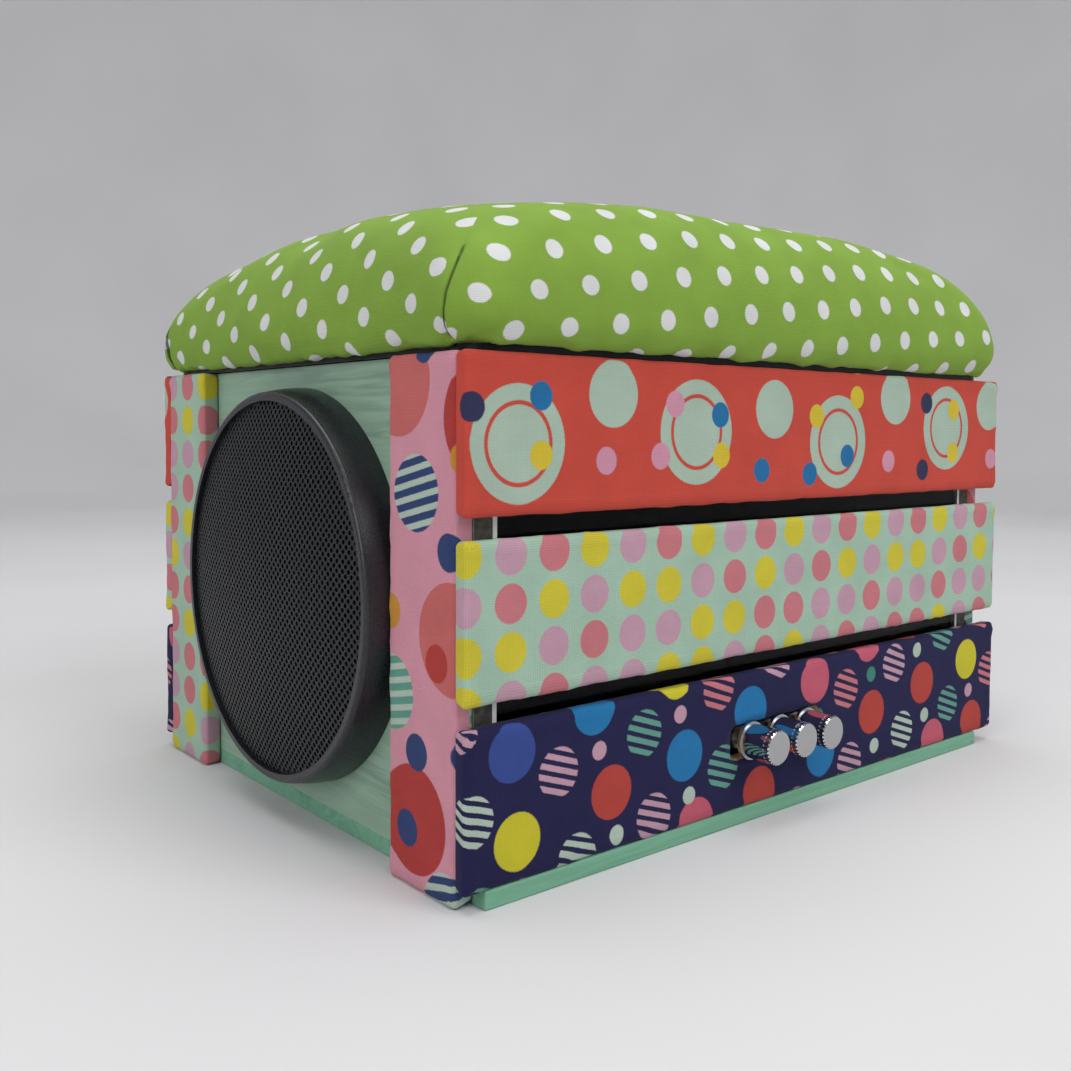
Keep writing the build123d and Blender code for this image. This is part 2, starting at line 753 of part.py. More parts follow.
def lead_route(points):
    """A lead along straight runs joined by arcs as large as the shorter run of each corner allows."""
    vectors = [Vector(*point) for point in points]
    radii = []
    for before, corner, after in zip(vectors, vectors[1:], vectors[2:]):
        turn = (corner - before).get_angle(after - corner)
        shorter = min((corner - before).length, (after - corner).length)
        radii.append(lead_bend_share * shorter / tan(radians(turn / 2)))
    with BuildPart() as lead:
        with BuildLine() as path:
            route = FilletPolyline(*points, radius=radii)
        with BuildSketch(Plane(origin=route @ 0, z_dir=route % 0)):
            Circle(lead_radius)
        sweep()
    return lead.solid()


def make_leads():
    """Leads from the amplifier to each loudspeaker, to the battery and to the power inlet."""
    low = base_thickness + lead_radius + lead_clearance
    plug_z = board_top_z + terminal_height / 2
    rear = board_rear_y
    tag_z = speaker_height - basket_back_radius - tag_depth
    solids = []
    for side, name in ((-1, "left"), (1, "right")):
        start = terminal_xs()[name]
        tag_x = side * (panel_outer_x - basket_depth + basket_wall / 2)
        solids.append(lead_route([
            (start, rear, plug_z), (start, rear + 12, plug_z), (start + side * 7, rear + 26, low + 9),
            (start + side * 24, rear + 38, low), (side * 88, rear + 46, low),
            (tag_x, -8, low + 8), (tag_x, 0, tag_z - 22), (tag_x, 0, tag_z)]))
    battery_x = terminal_xs()["battery"]
    battery_front = battery_offset - battery_depth / 2
    solids.append(lead_route([
        (battery_x, rear, plug_z), (battery_x, rear + 11, plug_z), (battery_x - 2, rear + 25, low + 8),
        (battery_x + 1, rear + 45, low + 1), (battery_x, battery_front - 14, low + 6),
        (battery_x, battery_front, low + 6)]))
    inlet_back = base_depth / 2 - inlet_barrel_length
    inlet_x = terminal_xs()["inlet"]
    solids.append(lead_route([
        (inlet_x, rear, plug_z), (inlet_x, rear + 12, plug_z), (inlet_x + 6, rear + 26, low + 9),
        (inlet_x + 22, rear + 42, low), (inlet_offset - 8, rear + 60, low),
        (inlet_offset + 4, rear + 98, low),
        (inlet_offset - 3, inlet_back - 42, low), (inlet_offset, inlet_back - 20, low + 10),
        (inlet_offset, inlet_back - 9, knob_z), (inlet_offset, inlet_back, knob_z)]))
    with BuildPart() as leads:
        add(solids)
    save(leads, "internal_leads")


# Padded lid: its side swells, draws in below and rounds over to a shallow crown.
# Each entry is the share of the height, the inset from the widest line, and the corner radius.
crown_inset = (lid_depth - lid_flat_depth) / 2
lid_profile = [
    (0.000, 6.0, 9.0), (0.028, 3.6, 11.0), (0.105, 1.1, 13.0), (0.230, 0.0, 15.0), (0.370, 1.0, 17.0),
    (0.510, 3.2, 20.0), (0.640, 6.8, 23.0), (0.755, 12.0, 27.0), (0.850, 20.0, 32.0), (0.920, 32.0, 38.0),
    (0.965, 50.0, 44.0), (0.990, crown_inset - lid_crown_step, 46.0), (1.000, crown_inset, 28.0),
]


def cushion(bottom, top, inward):
    """The crowned form through its profile, drawn in by a wall on every side."""
    sections = []
    for share, edge, corner in lid_profile:
        level = bottom + share * (top - bottom)
        with BuildSketch(Plane.XY.offset(level)) as section:
            drawn_in = 2 * (edge + inward)
            RectangleRounded(lid_length - drawn_in, lid_depth - drawn_in, corner - inward)
        sections.append(section.sketch.face())
    loft(sections)


def lid_rectangle(amount, z, mode=Mode.ADD):
    """A flat rounded piece of the lid's plan, inset from its widest line."""
    with BuildSketch(Plane.XY.offset(z[0])) as plan:
        RectangleRounded(lid_length - 2 * amount, lid_depth - 2 * amount, lid_board_corner)
    extrude(plan.sketch, amount=z[1] - z[0], mode=mode)


def make_lid():
    """Board, foam, fabric cover and black lining of the lid."""
    board_z = (board_bottom_z, board_bottom_z + lid_board_thickness)
    with BuildPart() as lid_board:
        lid_rectangle(lid_board_inset, board_z)
        cut_screw_holes(lid_screw_planes(), hinge_screw_radius)
    save(lid_board, "lid_board")
    with BuildPart() as inner:
        cushion(board_bottom_z, lid_crown - cover_thickness, cover_thickness)
    with BuildPart() as lid_foam:
        add(inner.part)
        lid_rectangle(lid_board_inset, board_z, mode=Mode.SUBTRACT)
    save(lid_foam, "lid_foam")
    with BuildPart() as lid_cover:
        cushion(hem_bottom_z, lid_crown, 0)
        add(inner.part, mode=Mode.SUBTRACT)
        lid_rectangle(lid_board_inset + cover_hem, (hem_bottom_z, board_bottom_z), mode=Mode.SUBTRACT)
        cut_screw_holes(lid_screw_planes(), hinge_screw_radius)
    save(lid_cover, "lid_cover")
    with BuildPart() as lining:
        lid_rectangle(lining_inset, (lining_bottom_z, hem_bottom_z))
        for x in hinge_xs:
            block((x - leaf_length / 2 - notch_margin, x + leaf_length / 2 + notch_margin),
                  (hinge_y - knuckle_radius - leaf_width - notch_margin, max(hinge_y, lid_depth / 2)),
                  (lining_bottom_z, hem_bottom_z), mode=Mode.SUBTRACT)
    save(lining, "lid_lining")


def knuckle(start, length, bore):
    """One barrel of a hinge, bored for its pin."""
    plane = Plane((start, hinge_y, hinge_z), z_dir=(1, 0, 0))
    rod(plane, knuckle_radius, length)
    rod(plane, bore, length, mode=Mode.SUBTRACT)


def make_hinges():
    """Two butt hinges: leaves on the rear slat and under the lid, and their pins."""
    half = leaf_length / 2
    gap_half = knuckle_length / 2 + knuckle_clearance
    turn_gap = knuckle_radius + hinge_stand_off
    with BuildPart() as case_leaves:
        for x in hinge_xs:
            block((x - half, x + half), (base_depth / 2, base_depth / 2 + leaf_thickness),
                  (hinge_z - leaf_width, hinge_z))
            block((x - gap_half, x + gap_half), (base_depth / 2, base_depth / 2 + leaf_thickness),
                  (hinge_z - turn_gap, hinge_z), mode=Mode.SUBTRACT)
            knuckle(x - half, half - gap_half, pin_radius)
            knuckle(x + gap_half, half - gap_half, pin_radius)
        sink_holes(case_screw_planes())
    save(case_leaves, "hinge_case_leaves")
    with BuildPart() as lid_leaves:
        for x in hinge_xs:
            leaf_z = (hem_bottom_z - leaf_thickness, hem_bottom_z)
            block((x - half, x + half), (hinge_y - knuckle_radius - leaf_width, hinge_y - turn_gap), leaf_z)
            block((x - knuckle_length / 2, x + knuckle_length / 2), (hinge_y - turn_gap, hinge_y), leaf_z)
            knuckle(x - knuckle_length / 2, knuckle_length, pin_radius + pin_clearance)
        sink_holes(lid_screw_planes())
    save(lid_leaves, "hinge_lid_leaves")
    with BuildPart() as pins:
        for x in hinge_xs:
            rod(Plane((x - half, hinge_y, hinge_z), z_dir=(1, 0, 0)), pin_radius, leaf_length)
    save(pins, "hinge_pins")
    with BuildPart() as lid_screws:
        for plane in lid_screw_planes():
            countersunk_screw(plane)
    save(lid_screws, "lid_hinge_screws")


make_base()
make_end_panels()
make_posts()
make_slats()
make_sheets()
for side, name in ((-1, "left"), (1, "right")):
    make_basket(side, name)
    make_magnet(side, name)
    make_cone(side, name)
    make_suspension(side, name)
    make_tweeter(side, name)
    make_grille(side, name)
make_case_screws()
make_controls()
make_amplifier()
make_battery()
make_inlet()
make_leads()
make_lid()
make_hinges()
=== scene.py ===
from functools import partial
from math import cos, pi, radians, sin

import bmesh
import bpy
import numpy as np
from mathutils import Matrix, Vector


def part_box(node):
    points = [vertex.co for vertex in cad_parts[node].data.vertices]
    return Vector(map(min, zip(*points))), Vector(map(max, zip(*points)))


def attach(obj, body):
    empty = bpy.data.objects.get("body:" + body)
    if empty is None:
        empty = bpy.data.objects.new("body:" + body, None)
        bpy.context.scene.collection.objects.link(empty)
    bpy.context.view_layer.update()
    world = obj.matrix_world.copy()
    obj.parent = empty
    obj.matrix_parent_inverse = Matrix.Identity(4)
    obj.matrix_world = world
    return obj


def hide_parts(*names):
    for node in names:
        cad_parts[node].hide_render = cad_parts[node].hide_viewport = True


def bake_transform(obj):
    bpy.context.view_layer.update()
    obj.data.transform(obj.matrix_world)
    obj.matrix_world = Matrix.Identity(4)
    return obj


bl_info = {
    "name": "Crate Speaker",
    "version": (1, 0, 0),
    "blender": (4, 5, 0),
    "location": "View3D > Sidebar > Crate",
    "description": "Dresses a fabric covered crate speaker with a padded lid around its CAD frame",
    "category": "Object",
}

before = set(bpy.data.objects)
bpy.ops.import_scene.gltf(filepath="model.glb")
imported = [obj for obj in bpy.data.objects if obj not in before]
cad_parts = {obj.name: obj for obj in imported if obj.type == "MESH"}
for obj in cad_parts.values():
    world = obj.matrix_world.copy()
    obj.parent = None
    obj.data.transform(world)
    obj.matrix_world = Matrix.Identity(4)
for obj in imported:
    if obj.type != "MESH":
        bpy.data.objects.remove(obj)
MM = 0.001
SIDES = {"left": -1, "right": 1}
ENDS = {"front": -1, "rear": 1}
ROWS = ("bottom", "middle", "top")
COLOURS = {"out": 2, "data_type": "RGBA"}

# Sizes in millimetres. Cloth: the width of its drawn threads, how soft an ink's edge is, how far its brightness
# goes up and down as a share, by painted shade between the threads, painted highlight on their tops and wear, and
# how far past an edge a print's rows ease back to level.
THREAD, INK_EDGE, WEAVE_SHADE_AND_WEAR = 0.8, 0.25, 0.06
CORNER_EASE = 60.0
# Covers: their hem, how round they lie over an edge, and what they stay above and below.
COVER_HEM, COVER_ROUNDING, COVER_HEIGHTS = 11.0, 1.7, (0.1, 193.5)
# Openings in the bottom covers, as x and z: the controls' slot and the inlet.
SLOT_MIDDLE, SLOT_SIZE, SLOT_CORNER = (-5, 35.45), (61.4, 15), 4
INLET_MIDDLE = (60, 35.45)
# The clear sheet's half length, and the grille's dome, plain border and thickness.
SHEET_END = 153.6
GRILLE_RISE, GRILLE_BORDER, GRILLE_THICKNESS = 6.0, 2.2, 0.8
# The drivers' axis, and the suspension's parts: between which radii each lies, and between which it bends.
SPEAKER_AXIS = 99.5
SECTORS = 12
FLEXING = {"surround": (50, 80, 57.0, 62.4), "spider": (0, 50, 13.5, 38.2)}

# The lid's cushion: size and heights, then how its form leans and droops, then how its cloth settles.
LID_SIZE = (351.0, 282.0)
LID_BOTTOM, LID_BOARD_BOTTOM, LID_BOARD_TOP, LID_CROWN = 196.2, 197.0, 205.0, 261.0
LID_LEAN, LID_DROOP, LID_DROOP_REACH = (0.017, -0.020), 13.0, 110.0
LID_LET_OUT, LID_SHIFT, LID_FRAMES = 0.012, 1.4, 24
LID_RECESS, LID_HEM, LID_INSIDE_CORNER = 9.0, 31.2, 12
# The cloth's hidden run, as inset and height: down beside the board, in below it and back to the lower edge.
LID_INSIDE = [(LID_RECESS + 6, LID_BOARD_TOP + 0.1), (LID_RECESS, LID_BOARD_TOP + 0.1), (LID_RECESS, 201),
              (LID_RECESS, LID_BOARD_BOTTOM), (18, LID_BOARD_BOTTOM), (LID_HEM, LID_BOARD_BOTTOM),
              (LID_HEM, LID_BOTTOM), (18, LID_BOTTOM), (LID_RECESS, LID_BOTTOM)]
# Each row of the lid's side: share of its height, inset, corner radius and how far the front panel laps the end.
LID_SIDE = [(0, 6, 15, 11), (.028, 3.6, 16, 11.5), (.105, 1.1, 17, 12.5), (.23, 0, 18, 12.5), (.37, 1, 20, 9.5),
            (.51, 3.2, 22, 6.5), (.64, 6.8, 26, 5), (.755, 12, 30, 4), (.85, 20, 36, 2), (.92, 32, 43, 1),
            (.965, 50, 50, 0)]

# The photograph's width, focal length and principal point in pixels, the camera's place in metres and its turn.
PHOTO, FOCAL, PRINCIPAL = 1071, 1098.36, (535.5, 476.14)
CAMERA_PLACE, YAW, PITCH, ROLL = (-0.3883, -0.4314, 0.1663), radians(39.58), radians(2.38), radians(0.28)
SENSOR = 36.0
# The backdrop in metres: its flat floor's radius, the bend's radius and the wall's top, and its number of sides.
FLOOR_RADIUS, WALL_BEND, WALL_TOP, BACKDROP_SIDES = 2.0, 1.2, 3.4, 64


# Nodes

def linear(hex_colour):
    """An sRGB hex colour as the linear RGBA that a shader socket takes."""
    channels = [int(hex_colour[i:i + 2], 16) / 255 for i in (1, 3, 5)]
    return [c / 12.92 if c <= 0.04045 else ((c + 0.055) / 1.055) ** 2.4 for c in channels] + [1.0]


def add_node(tree, kind, sockets=(), out=0, **settings):
    """Add a shader node with its settings and its socket values or links, and return one of its outputs.

    A hex colour is made linear on the way.
    """
    node = tree.nodes.new(f"ShaderNode{kind}")
    for name, value in settings.items():
        setattr(node, name, value)
    for key, value in sockets.items() if isinstance(sockets, dict) else enumerate(sockets):
        if isinstance(value, bpy.types.NodeSocket):
            tree.links.new(value, node.inputs[key])
        else:
            node.inputs[key].default_value = linear(value) if isinstance(value, str) else value
    return node.outputs[out] if node.outputs else None


def new_tree(name):
    """A new material with an empty tree, and what adds a node to it."""
    material = bpy.data.materials.new(name)
    material.use_nodes = True
    material.node_tree.nodes.clear()
    return material, partial(add_node, material.node_tree)


def finish_tree(add, sockets):
    """Close a material with its surface shader."""
    shader = add("BsdfPrincipled", sockets)
    add("OutputMaterial", [shader])


def in_millimetres(add, place=None):
    """Object coordinates, or another place in metres, in millimetres."""
    if place is None:
        place = add("TexCoord", out="Object")
    return add("VectorMath", {0: place, 3: 1 / MM}, operation="SCALE")


def mottled(add, place, size, low, high, detail=2):
    """Soft spots of a size in millimetres, as a value from low to high."""
    spotted = add("TexNoise", {"Vector": place, "Scale": 1 / size, "Detail": detail})
    return add("MapRange", [spotted, 0.3, 0.7, low, high])


def facing(add, end):
    """1 where the CAD surface faces the front or the rear, and 0 where it turns away from them."""
    way = add("SeparateXYZ", [add("TexCoord", out="Normal")], out=1)
    return add("MapRange", [add("Math", [way], operation="ABSOLUTE"), 0.9, end, 0, 1])


# Meshes

def corners(grid):
    """The four corners of every cell of a grid, counter-clockwise."""
    four = np.stack([grid[:-1, :-1], grid[1:, :-1], grid[1:, 1:], grid[:-1, 1:]], 2)
    return four.reshape(-1, 4, *grid.shape[2:])


def mesh_piece(name, points, faces, material=None, places=None, smooth=True):
    """A new object from points in millimetres, its faces and each face corner's place on the cloth."""
    mesh = bpy.data.meshes.new(name)
    mesh.from_pydata((points * MM).tolist(), [], [face.tolist() for face in faces])
    if places is not None:
        layer = mesh.uv_layers.new(name="cloth")
        layer.data.foreach_set("uv", (places * MM).astype(np.float32).ravel())
    if smooth:
        mesh.shade_smooth()
    if material:
        mesh.materials.append(material)
    piece = bpy.data.objects.new(name, mesh)
    bpy.context.scene.collection.objects.link(piece)
    return piece


def modified(piece, *modifiers):
    """Add modifiers, each a kind with its settings, and work them into the mesh."""
    for kind, settings in modifiers:
        modifier = piece.modifiers.new(kind.title(), kind)
        for name, value in settings.items():
            setattr(modifier, name, value)
    bpy.context.view_layer.update()
    seen = piece.evaluated_get(bpy.context.evaluated_depsgraph_get())
    mesh = bpy.data.meshes.new_from_object(seen)
    piece.modifiers.clear()
    piece.data = mesh
    return piece


def all_points(mesh):
    """A mesh's points as an array in millimetres."""
    points = np.empty(len(mesh.vertices) * 3)
    mesh.vertices.foreach_get("co", points)
    return points.reshape(-1, 3) / MM


def side_places(straight, turn):
    """Samples along half a wrapped side each way: shares of its straight half, then of its half corner."""
    run = np.concatenate([np.linspace(0, 1, straight + 1), np.ones(turn)])
    bend = np.concatenate([np.zeros(straight + 1), np.linspace(0, 1, turn + 1)[1:]])
    return np.column_stack([np.concatenate([-run[:0:-1], run]), np.concatenate([-bend[:0:-1], bend])])


def wrapped_side(half, out, corner, samples, angle):
    """Points along one side of a rounded rectangle, from where it starts in one corner to its end in the next.

    With s the share of the straight part, b that of the corner and angle the part of the quarter turn that
    belongs to this side, a sample lies at a = s (half - corner) + corner sin(b angle) along the side and
    out - corner + corner cos(b angle) from the middle, and the cloth's run to it is
    t = s (half - corner) + corner b angle.
    """
    turn = samples[:, 1] * angle
    run = samples[:, 0] * (half - corner)
    return run + corner * np.sin(turn), out - corner + corner * np.cos(turn), run + corner * turn


def wrapped_form(length, width, profile, samples, closed_below=False):
    """Cloth pulled over a rounded box: rings that follow a profile up to the face, and a patch that fills it.

    profile has rows of inset, height, corner radius and lap. Each ring is a rounded rectangle of
    (length - 2 inset) by (width - 2 inset). Where the front and rear panels lap the ends, they run on round the
    corner by the lap past its middle. On the face the cloth's place is the point's own x and y. Past its edge
    the cloth runs on by the profile's length, so a print goes over the edge unbroken and meets itself in a fold
    at each corner, where its rows ease back to level. Returns points, faces and each face corner's place.
    """
    n, m = len(samples[0]), len(samples[1])
    around = 2 * (n + m - 2)
    starts = (0, n - 1, n + m - 2, 2 * n + m - 3)
    profile = np.array(profile, float)
    rows = len(profile)
    steps = np.hypot(np.diff(profile[:, 0]), np.diff(profile[:, 1]))
    below = np.append(np.cumsum(steps[::-1])[::-1], 0)
    rings = np.empty((rows, around, 3))
    rings[..., 2] = profile[:, 1:2]
    faces, places = [], []
    for side, start in enumerate(starts):
        half, out = ((length, width), (width, length))[side % 2]
        line = [wrapped_side(half / 2 - inset, out / 2 - inset, corner, samples[side % 2],
                             pi / 4 + (-1) ** side * lap / corner) for inset, _, corner, lap in profile]
        a, b, t = (np.array(part) for part in zip(*line))
        x, y = ((a, -b), (b, a), (-a, b), (-b, -a))[side]
        rings[:, start:start + a.shape[1] - 1, 0], rings[:, start:start + a.shape[1] - 1, 1] = x[:, :-1], y[:, :-1]
        fall = below[:, None] + 0 * t
        ease = np.minimum(1, fall / CORNER_EASE)
        run = t + (a[-1] - t[-1]) * (1 - ease)
        far = b[-1] + fall + (b[-1].max() - b[-1]) * ease
        place = np.stack(((run, -far), (far, run), (-run, far), (-far, -run))[side], -1)
        index = np.arange(rows)[:, None] * around + (start + np.arange(a.shape[1])) % around
        faces.append(corners(index.T))
        places.append(corners(place.transpose(1, 0, 2)))
    points = [rings.reshape(-1, 3)]
    for row, turned in ((rows - 1, False), (0, True))[:1 + closed_below]:
        ring = rings[row]
        loop = np.append(ring, ring[:1], 0)
        u, v = np.linspace(0, 1, n)[:, None, None], np.linspace(0, 1, m)[None, :, None]
        grid = ((1 - v) * loop[:n, None] + v * loop[starts[2]:starts[3] + 1][::-1, None]
                + u * loop[None, n - 1:starts[2] + 1] + (1 - u) * loop[None, starts[3]:][:, ::-1])
        grid -= ((1 - u) * (1 - v) * ring[0] + u * (1 - v) * ring[starts[1]]
                 + u * v * ring[starts[2]] + (1 - u) * v * ring[starts[3]])
        index = np.zeros((n, m), int)
        count = sum(len(part) for part in points)
        index[1:-1, 1:-1] = count + np.arange((n - 2) * (m - 2)).reshape(n - 2, m - 2)
        edge = row * around + np.append(np.arange(around), 0)
        index[:, 0], index[-1] = edge[:n], edge[n - 1:starts[2] + 1]
        index[:, -1], index[0] = edge[starts[2]:starts[3] + 1][::-1], edge[starts[3]:][::-1]
        points.append(grid[1:-1, 1:-1].reshape(-1, 3))
        face, place = corners(index), corners(grid[..., :2])
        faces.append(face[:, ::-1] if turned else face)
        places.append(place[:, ::-1] if turned else place)
    return np.concatenate(points), np.concatenate(faces), np.concatenate(places).reshape(-1, 2)


def waves(points, lengths, seed):
    """A smooth uneven height from -1 to 1: the mean of sin(2 pi d.p / length + phase) in seeded directions d."""
    rng = np.random.default_rng(seed)
    all_lengths = np.repeat(lengths, 5)
    height = np.zeros(len(points))
    for length in all_lengths:
        way = rng.normal(size=points.shape[1])
        height += np.sin(points @ way * 2 * pi / (length * np.linalg.norm(way)) + rng.uniform(0, 2 * pi))
    return height / len(all_lengths)


# Printed cloth

def spots(add, place, pitch, shift, stray):
    """One lattice of dots: the distance from the nearest dot's middle, the vector to it, its dice and its cell."""
    scaled = add("VectorMath", [place, (1 / pitch[0], 1 / pitch[1], 0), (*shift, 0)], operation="MULTIPLY_ADD")
    cell = add("VectorMath", [scaled], operation="FLOOR")
    dice = add("TexWhiteNoise", [cell], out="Color", noise_dimensions="3D")
    start = 0.5 - stray / 2
    middle = add("VectorMath", [dice, (stray, stray, 0), (start, start, 0)], operation="MULTIPLY_ADD")
    inside = add("VectorMath", [scaled], operation="FRACTION")
    offset = add("VectorMath", [inside, middle], operation="SUBTRACT")
    real = add("VectorMath", [offset, (*pitch, 0)], operation="MULTIPLY")
    return add("VectorMath", [real], out="Value", operation="LENGTH"), real, dice, cell


def printed_cloth(name, ground, layers, turn=0.0, fold=None):
    """Cotton cloth printed in flat inks, with its weave.

    Each layer is a lattice of dots: pitch, radius and colours, and if wanted shift, stray, share, order, and a
    fill of stripes with their pitch, lean and colour. Colours in order go by fract(cell . (across, down) + 1/6),
    with a few slips by one step. The weave is painted into the colours as shade between the threads and as a
    highlight on their tops, and the dots' edges are a little soft. The threads are drawn coarser than real ones,
    so that they show at this distance.
    """
    material, add = new_tree(name)
    place = in_millimetres(add, add("UVMap", uv_map="cloth"))
    shake = add("TexNoise", {"Vector": place, "Scale": 1.6, "Detail": 1.0}, out="Color")
    edged = add("VectorMath", [shake, (0.4, 0.4, 0), place], operation="MULTIPLY_ADD")
    turned = add("VectorRotate", {"Vector": edged, "Angle": turn}, rotation_type="Z_AXIS")
    colour = ground
    for layer in layers:
        distance, real, dice, cell = spots(add, turned, layer["pitch"], layer.get("shift", (0, 0)),
                                           layer.get("stray", 0))
        radius = layer["radius"]
        mask = add("MapRange", [distance, radius - INK_EDGE, radius + INK_EDGE, 1, 0])
        first = add("SeparateXYZ", [dice])
        throw = first.node.outputs[2]
        if "share" in layer:
            kept = add("Math", [first, layer["share"]], operation="LESS_THAN")
            mask = add("Math", [mask, kept], operation="MULTIPLY")
        if "order" in layer:
            across, down, odd = layer["order"]
            steps = add("VectorMath", [cell, (across, down, 0)], out="Value", operation="DOT_PRODUCT")
            slip = add("Math", [first, odd], operation="LESS_THAN")
            throw = add("Math", [slip, across, steps], operation="MULTIPLY_ADD")
            throw = add("Math", [throw, 1 / 6], operation="ADD")
            throw = add("Math", [throw], operation="FRACT")
        ink = add("ValToRGB", [throw])
        bands, colours = ink.node.color_ramp, layer["colours"]
        bands.interpolation = "CONSTANT"
        for _ in colours[2:]:
            bands.elements.new(0.5)
        for number, shade in enumerate(colours):
            bands.elements[number].position = number / len(colours)
            bands.elements[number].color = linear(shade)
        if "fill" in layer:
            pitch, lean, inner = layer["fill"]
            leant = add("VectorMath", [real, (lean, 1, 0)], out="Value", operation="DOT_PRODUCT")
            phase = add("Math", [leant, 2 * pi / pitch], operation="MULTIPLY")
            swing = add("Math", [phase], operation="SINE")
            inside = add("MapRange", [swing, -0.35, 0.05, 0, 1])
            ink = add("Mix", {0: inside, 6: inner, 7: ink}, **COLOURS)
        colour = add("Mix", {0: mask, 6: colour, 7: ink}, **COLOURS)
    # Painted shade between the threads and painted highlight on their tops, then wear in wide patches.
    threads = add("VectorMath", {0: place, 3: pi / THREAD}, operation="SCALE")
    rib = add("VectorMath", [threads], operation="SINE")
    flat = add("VectorMath", [rib], operation="ABSOLUTE")
    warp = add("SeparateXYZ", [flat])
    cloth = add("Math", [warp, warp.node.outputs[1]], operation="MULTIPLY")
    near = add("MapRange", [cloth, 0, 1, 1 - 2 * WEAVE_SHADE_AND_WEAR, 1 + WEAVE_SHADE_AND_WEAR])
    wide = mottled(add, place, 22, 1 - WEAVE_SHADE_AND_WEAR, 1 + WEAVE_SHADE_AND_WEAR, 3)
    shade = add("Math", [near, wide], operation="MULTIPLY")
    # Painted shade along a seam, where fold is given.
    if fold:
        shade = add("Math", [shade, fold(add)], operation="MULTIPLY")
    grey = add("CombineXYZ", [shade] * 3)
    woven = add("Mix", {0: 1.0, 6: colour, 7: grey}, **COLOURS, blend_type="MULTIPLY")
    bent = add("Bump", {"Height": cloth, "Distance": 0.12 * MM, "Strength": 0.6})
    finish_tree(add, {"Base Color": woven, "Roughness": 0.85, "Specular IOR Level": 0.12,
                       "Sheen Weight": 0.04, "Sheen Roughness": 0.5, "Normal": bent})
    return material


def painted_seam_shade(add):
    """Painted shade along the lid's corner folds: 1 on the cloth, and less within 1.3 mm of where the layers meet.
    """
    away = add("Attribute", out="Fac", attribute_name="painted_seam_shade_distance")
    return add("MapRange", [away, 0.4, 1.3, 0.22, 1])


def lid_cloth(settings):
    """Green cotton with small white dots in staggered rows, which run slightly uphill as on the photograph."""
    pitch = (settings.lid_dot_pitch / MM, 2 * settings.lid_dot_row / MM)
    dot = {"pitch": pitch, "radius": settings.lid_dot_size / MM / 2, "colours": ["#CBCDCC"] * 2}
    # The lid's corner folds carry painted shade.
    return printed_cloth("Green_cotton_printed_dots", "#799A3B", [dot, {**dot, "shift": (0.5, 0.5)}],
                         turn=radians(-6), fold=painted_seam_shade)


def mint_cloth():
    """Mint cotton with rows of larger dots, whose three colours follow each other along and down the rows."""
    dot = {"pitch": (19.8, 17.0), "radius": 7.1, "shift": (0.4, 0.15), "order": (1 / 3, 2 / 3, 0.16),
           "colours": ["#B690A0", "#BC7178", "#C2B738"]}
    return printed_cloth("Mint_cotton_printed_dot_rows", "#9BB7A4", [dot])


def red_cloth():
    """Red cotton with large mint discs, a thin ring in each, smaller ones between them, and small dots."""
    red, mint = "#BB473B", "#A0B4A4"
    disc = {"pitch": (92, 78), "shift": (0.15, 0.5), "stray": 0.1, "radius": 21, "colours": [mint] * 2}
    small = {"pitch": (30.7, 25), "stray": 0.42, "radius": 5.2, "share": 0.85,
             "colours": ["#2F314E", "#236899", "#C38A9F", "#C7B135"]}
    return printed_cloth("Red_cotton_printed_discs", red, [
        disc, {**disc, "radius": 15.2, "colours": [red] * 2}, {**disc, "radius": 13.6}, small,
        {**disc, "shift": (0.65, 0.32), "radius": 12.5}])


def navy_cloth():
    """Navy cotton with plain and striped discs in turn, and small dots between them."""
    navy = "#201F45"
    plain = {"pitch": (43, 34), "stray": 0.16, "radius": 10.4,
             "colours": ["#BEB62E", "#226FA4", "#AB413A", "#34488A", "#B8576A"]}
    striped = {**plain, "shift": (0.5, 0.5), "radius": 9.4, "fill": (4.6, 0.6, navy),
               "colours": ["#5D9283", "#B690A0", "#A9B9AC", "#BC7178"]}
    small = {**plain, "shift": (0.02, 0.5), "radius": 3.6, "share": 0.7,
             "colours": ["#B690A0", "#A9B9AC", "#3C7F70"]}
    return printed_cloth("Navy_cotton_printed_discs", navy, [plain, striped, small], turn=radians(-12))


def pink_cloth():
    """Pink cotton with plain and striped discs of several sizes scattered over it."""
    large = {"pitch": (58, 71), "shift": (0.2, 0.35), "stray": 0.3, "radius": 20,
             "colours": ["#BA6361", "#A73B38", "#BA6361"]}
    striped = {**large, "shift": (0.72, 0.85), "stray": 0.2, "radius": 14, "fill": (5.6, -0.5, "#A9B9AC"),
               "colours": ["#2F3F6A", "#5D9283"]}
    small = {"pitch": (29, 35.5), "shift": (0.1, 0.6), "stray": 0.4, "radius": 6.8, "share": 0.75,
             "colours": ["#BD8636", "#2F3F6A", "#C2B738", "#A73B38"]}
    return printed_cloth("Pink_cotton_printed_discs", "#C88C9B", [large, striped, small], turn=radians(14))


# Covers

